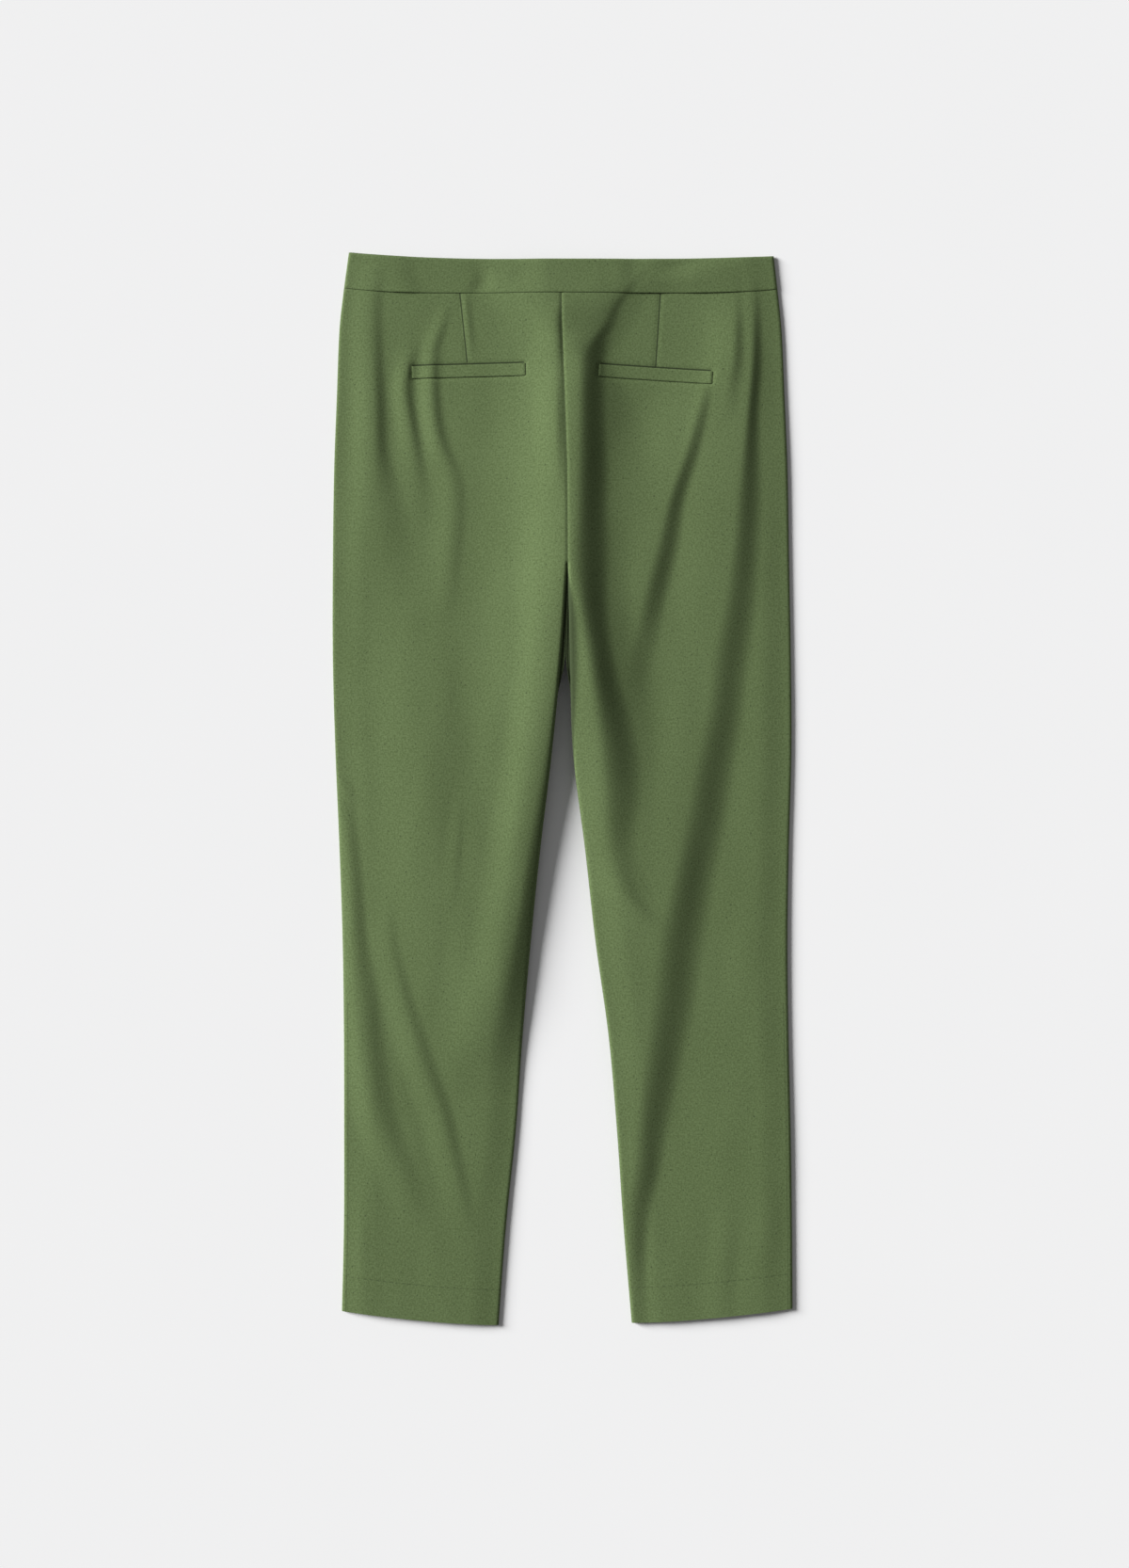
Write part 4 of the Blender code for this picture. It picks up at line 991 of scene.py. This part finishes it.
def zip_teeth(material):
    """Interlocked teeth along the middle of the CAD tape."""
    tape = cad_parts["zip"].data
    points = [vertex.co.copy() for vertex in tape.vertices]
    tree = BVHTree.FromPolygons(points, [list(face.vertices) for face in tape.polygons])
    low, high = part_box("zip")
    verts, faces = [], []
    places = np.arange(low.y + TAPE_ENDS[0], high.y - TAPE_ENDS[1], TOOTH_PITCH)
    for n, y in enumerate(places):
        x = along(LEVELS, "left_inner", TOP_Y - y)
        x += TOOTH_STAGGER if n % 2 else -TOOTH_STAGGER
        hit = tree.ray_cast(Vector((x, y, 0.1)), Vector((0.0, 0.0, -1.0)))[0]
        if hit is None:
            continue
        start = len(verts)
        for corner in np.ndindex(2, 2, 2):
            verts.append([
                hit[axis] + TOOTH_HALF[axis] * (2 * corner[axis] - 1) for axis in range(3)
            ])
        faces.extend([start + corner for corner in face] for face in BOX_FACES)
    mesh = bpy.data.meshes.new("zip_teeth")
    mesh.from_pydata(verts, [], faces)
    mesh.materials.append(material)
    return add_object("zip_teeth", mesh)


# ---- materials
class Shader:
    """A material's node tree, with short calls for the nodes used here."""

    def __init__(self, name, roughness, metallic=0.0, sheen=0.0, specular=0.5):
        self.material = bpy.data.materials.new(name)
        self.material.use_nodes = True
        self.tree = self.material.node_tree
        self.surface = self.tree.nodes["Principled BSDF"].inputs
        for socket, value in (
            ("Roughness", roughness), ("Metallic", metallic), ("Sheen Weight", sheen),
            ("Sheen Roughness", 0.5), ("Specular IOR Level", specular),
        ):
            self.surface[socket].default_value = value

    def put(self, socket, value):
        if isinstance(value, bpy.types.NodeSocket):
            self.tree.links.new(value, socket)
        else:
            socket.default_value = value

    def node(self, kind, sockets=(), **settings):
        """A new node: its settings come first, because they can change its sockets."""
        made = self.tree.nodes.new(kind)
        for key, value in settings.items():
            setattr(made, key, value)
        for key, value in dict(sockets).items():
            self.put(made.inputs[key], value)
        return made

    def math(self, operation, a, b=0.0):
        return self.node("ShaderNodeMath", {0: a, 1: b}, operation=operation).outputs[0]

    def times(self, a, b):
        return self.math("MULTIPLY", a, b)

    def remap(self, value, low, high, to_low, to_high):
        sockets = {0: value, 1: low, 2: high, 3: to_low, 4: to_high}
        made = self.node("ShaderNodeMapRange", sockets, interpolation_type="SMOOTHSTEP")
        return made.outputs[0]

    def noise(self, vector, scale, detail=2.0, offset=(0.0, 0.0, 0.0)):
        """Noise with a scale of its own along each axis."""
        sockets = {"Vector": vector, "Scale": scale, "Location": offset}
        vector = self.node("ShaderNodeMapping", sockets).outputs[0]
        sockets = {"Vector": vector, "Scale": 1.0, "Detail": detail}
        return self.node("ShaderNodeTexNoise", sockets).outputs[0]

    def mix(self, factor, a, b):
        made = self.node("ShaderNodeMix", {0: factor, 6: a, 7: b}, data_type="RGBA")
        return made.outputs[2]

    def mottle(self, scale, detail=2.0):
        where = self.node("ShaderNodeTexCoord").outputs["Object"]
        return self.noise(where, (scale, scale, scale), detail)

    def paint(self, colour):
        self.put(self.surface["Base Color"], colour)

    def attribute(self, name):
        return self.node("ShaderNodeAttribute", attribute_name=name).outputs["Fac"]

    def bump(self, height, strength, distance):
        sockets = {"Height": height, "Strength": strength, "Distance": distance}
        self.put(self.surface["Normal"], self.node("ShaderNodeBump", sockets).outputs[0])


CLOTH_DARK = (0.084, 0.121, 0.044, 1.0)
CLOTH_LIGHT = (0.124, 0.174, 0.072, 1.0)
SLUB = (0.046, 0.066, 0.026, 1.0)
# the dark colour of the seam lines, and of the painted shade at the fork
SEAM_AND_PAINTED_SHADE = (0.028, 0.040, 0.016, 1.0)
PAINTED_SHADE_STRENGTH = 0.85       # how much of the dark seam colour the painted shade puts on an inseam at the fork
Yarns = namedtuple("Yarns", "scale offset weight")
YARNS = (
    Yarns((1100.0, 300.0, 1.0), (0.0, 0.0, 0.0), 0.28),
    Yarns((300.0, 1100.0, 1.0), (3.1, 7.7, 0.0), 0.20),
    Yarns((600.0, 600.0, 1.0), (9.0, 2.0, 0.0), 0.46),
)
CLOUD = Yarns((22.0, 14.0, 1.0), (1.0, 5.0, 0.0), 0.08)
TONE_RANGE = (0.40, 0.62)
SLUBS = Yarns((520.0, 420.0, 1.0), (4.0, 4.0, 0.0), 0.8)
SLUB_RANGE = (0.74, 0.82)
YARN_PITCH = 0.0011
WEAVE_RELIEF = 0.18
CLOTH_BUMP = (0.35, 0.00035)    # strength and depth
Mark = namedtuple("Mark", "name half_width strength depth")
LINES = (
    Mark("dart_line", 0.0008, 0.95, 0.8),
    Mark("pocket_mouth", 0.0011, 0.95, 1.0),
    Mark("pocket_seam", 0.0008, 0.40, 0.5),
    Mark("side_line", 0.0006, 0.30, 0.5),
)
LINE_CORE = 0.35        # the share of a line's half width that is full
STITCH_PITCH = 0.006
STITCH_WIDTH = (0.0002, 0.0008)     # from its line to where it is full, and to its edge
STITCH_TURN = (0.1, 0.7)
STITCH_SHARES = (0.15, 0.55)    # between the stitches and on them
STITCH_RELIEF = 0.8
TAPE_COLOURS = ((0.060, 0.082, 0.036, 1.0), (0.105, 0.140, 0.066, 1.0))
TAPE_RIBS = 260.0
TAPE_WAVER = 0.4
TAPE_GRAIN = 900.0
RIB_SHARE = 0.6
TAPE_BUMP = (0.3, 0.0003)
GLOSS_SPREAD = (-0.08, 0.10)        # of the roughness, where the tone is low and high
GLOSS_TONES = (0.3, 0.7)
WORN_BUMP = (0.15, 0.0002)
FLOOR_COLOURS = ((0.845, 0.845, 0.850, 1.0), (0.855, 0.855, 0.858, 1.0))
FLOOR_MOTTLE = 6.0


def woven(name):
    """A plain linen-like weave: crossed uneven yarns, slubs, the seams' marks and a painted
    shade at the fork.
    """
    shader = Shader(name, roughness=0.92, sheen=0.10, specular=0.15)
    uv = shader.node("ShaderNodeUVMap", uv_map="cloth").outputs[0]
    along_x, along_y = shader.node("ShaderNodeSeparateXYZ", {0: uv}).outputs[:2]
    blend = 0.0
    for yarns in (CLOUD, *YARNS):
        noise = shader.noise(uv, yarns.scale, 2.0, yarns.offset)
        blend = shader.math("ADD", blend, shader.times(noise, yarns.weight))
    tone = shader.remap(blend, *TONE_RANGE, 0.0, 1.0)
    colour = shader.mix(tone, CLOTH_DARK, CLOTH_LIGHT)
    slub = shader.noise(uv, SLUBS.scale, 0.0, SLUBS.offset)
    colour = shader.mix(shader.remap(slub, *SLUB_RANGE, 0.0, SLUBS.weight), colour, SLUB)
    turns = 2 * math.pi / YARN_PITCH
    over = shader.math("SINE", shader.times(along_x, turns))
    under = shader.math("SINE", shader.times(along_y, turns))
    weave = shader.times(shader.times(over, under), WEAVE_RELIEF)
    height = shader.math("ADD", weave, blend)
    for mark in LINES:
        distance = shader.math("ABSOLUTE", shader.attribute(mark.name))
        line = shader.remap(distance, LINE_CORE * mark.half_width, mark.half_width, 1.0, 0.0)
        colour = shader.mix(shader.times(line, mark.strength), colour, SEAM_AND_PAINTED_SHADE)
        height = shader.math("SUBTRACT", height, shader.times(line, mark.depth))
    # Painted shade: the inseams darken where they turn under at the fork.
    shade = shader.remap(shader.attribute("painted_fork_shade"), 0.0, FAR, PAINTED_SHADE_STRENGTH, 0.0)
    colour = shader.mix(shade, colour, SEAM_AND_PAINTED_SHADE)
    distance = shader.math("ABSOLUTE", shader.attribute("hem_stitch"))
    row = shader.remap(distance, *STITCH_WIDTH, 1.0, 0.0)
    dash = shader.math("SINE", shader.times(along_x, 2 * math.pi / STITCH_PITCH))
    stitch = shader.times(row, shader.remap(dash, *STITCH_TURN, *STITCH_SHARES))
    colour = shader.mix(stitch, colour, SLUB)
    height = shader.math("SUBTRACT", height, shader.times(stitch, STITCH_RELIEF))
    shader.paint(colour)
    shader.bump(height, *CLOTH_BUMP)
    return shader.material


def worn(name, dark, light, roughness, metallic, scale):
    """A smooth hard material whose colour and gloss vary a little."""
    shader = Shader(name, roughness=roughness, metallic=metallic)
    tone = shader.mottle(scale, 3.0)
    shader.paint(shader.mix(tone, dark, light))
    low, high = GLOSS_SPREAD
    gloss = shader.remap(tone, *GLOSS_TONES, roughness + low, roughness + high)
    shader.put(shader.surface["Roughness"], gloss)
    shader.bump(tone, *WORN_BUMP)
    return shader.material


def tape(name):
    """Ribbed woven zip tape."""
    shader = Shader(name, roughness=0.85, sheen=0.1, specular=0.2)
    where = shader.node("ShaderNodeTexCoord").outputs["Object"]
    sockets = {"Vector": where, "Scale": TAPE_RIBS, "Distortion": TAPE_WAVER}
    rib = shader.node("ShaderNodeTexWave", sockets, bands_direction="Y").outputs["Fac"]
    tone = shader.math("ADD", shader.times(rib, RIB_SHARE), shader.mottle(TAPE_GRAIN))
    shader.paint(shader.mix(tone, *TAPE_COLOURS))
    shader.bump(rib, *TAPE_BUMP)
    return shader.material


def floor_material():
    """A plain pale floor, barely mottled."""
    shader = Shader("floor", roughness=0.95, specular=0.1)
    shader.paint(shader.mix(shader.mottle(FLOOR_MOTTLE), *FLOOR_COLOURS))
    return shader.material


# ---- dressing the part
cloth = woven("linen_cloth")

pieces = {}
for side in SIDE:
    pieces["back_" + side] = leg_panel(
        f"back_{side}_cloth", side, seat_height, 1, BACK_STEP, cloth
    )
    pieces["front_" + side] = leg_panel(
        f"front_{side}_cloth", side, front_height, -1, FRONT_STEP, cloth
    )
    pieces["welt_" + side] = welt_strip(side, cloth)
    pieces["waistband_front_" + side] = band_front(side, cloth)
pieces["waistband_back"] = band_back(cloth)

for node, piece in pieces.items():
    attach(piece, "root")
    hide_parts(node)

teeth = zip_teeth(worn(
    "zip_metal", (0.30, 0.28, 0.24, 1.0), (0.42, 0.40, 0.35, 1.0), 0.35, 1.0, 300.0
))
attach(teeth, "root")

hard = {
    "button": worn(
        "button_resin", (0.070, 0.100, 0.046, 1.0), (0.100, 0.138, 0.066, 1.0), 0.38, 0.0, 180.0
    ),
    "zip": tape("zip_tape"),
    "zip_slider": worn(
        "slider_metal", (0.40, 0.38, 0.34, 1.0), (0.52, 0.50, 0.45, 1.0), 0.32, 1.0, 240.0
    ),
}
for node, material in hard.items():
    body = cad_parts[node]
    body.data.materials.clear()
    body.data.materials.append(material)

# ---- floor, light and camera
FLOOR_HALF = 4.0
FLOOR_DROP = 0.0002     # keeps the floor clear of the cloth that rests on it
floor_mesh = bpy.data.meshes.new("floor")
corners = ((-1, -1), (1, -1), (1, 1), (-1, 1))
floor_mesh.from_pydata(
    [(x * FLOOR_HALF, y * FLOOR_HALF, 0) for x, y in corners], [], [(0, 1, 2, 3)]
)
floor_mesh.materials.append(floor_material())
floor = add_object("floor", floor_mesh)
floor.location.z = -FLOOR_DROP

KEY_HEIGHT = math.radians(21.6)     # above the floor
KEY_AZIMUTH = math.radians(20)      # from -X towards the waist
KEY_SOFTNESS = math.radians(26)
KEY_POWER = 7.28
SKY_POWER = 0.17
key_data = bpy.data.lights.new("key", "SUN")
key_data.angle = KEY_SOFTNESS
key_data.energy = KEY_POWER
key = add_object("key", key_data)
towards = Vector((
    -math.cos(KEY_HEIGHT) * math.cos(KEY_AZIMUTH),
    math.cos(KEY_HEIGHT) * math.sin(KEY_AZIMUTH),
    math.sin(KEY_HEIGHT),
))
key.rotation_euler = towards.to_track_quat("Z", "Y").to_euler()

world = bpy.data.worlds.new("studio")
world.use_nodes = True
sky = world.node_tree.nodes["Background"].inputs
sky["Color"].default_value = (1.0, 1.0, 1.0, 1.0)
sky["Strength"].default_value = SKY_POWER
bpy.context.scene.world = world
bpy.context.scene.view_settings.view_transform = "Standard"

# The camera looks straight down, as in the photo.
CAMERA_PLACE = (-0.0004, 0.0044, 2.851)
camera_data = bpy.data.cameras.new("camera")
camera_data.lens = 70.0
camera_data.sensor_width = 36.0
camera = add_object("camera", camera_data)
camera.location = CAMERA_PLACE
bpy.context.scene.camera = camera
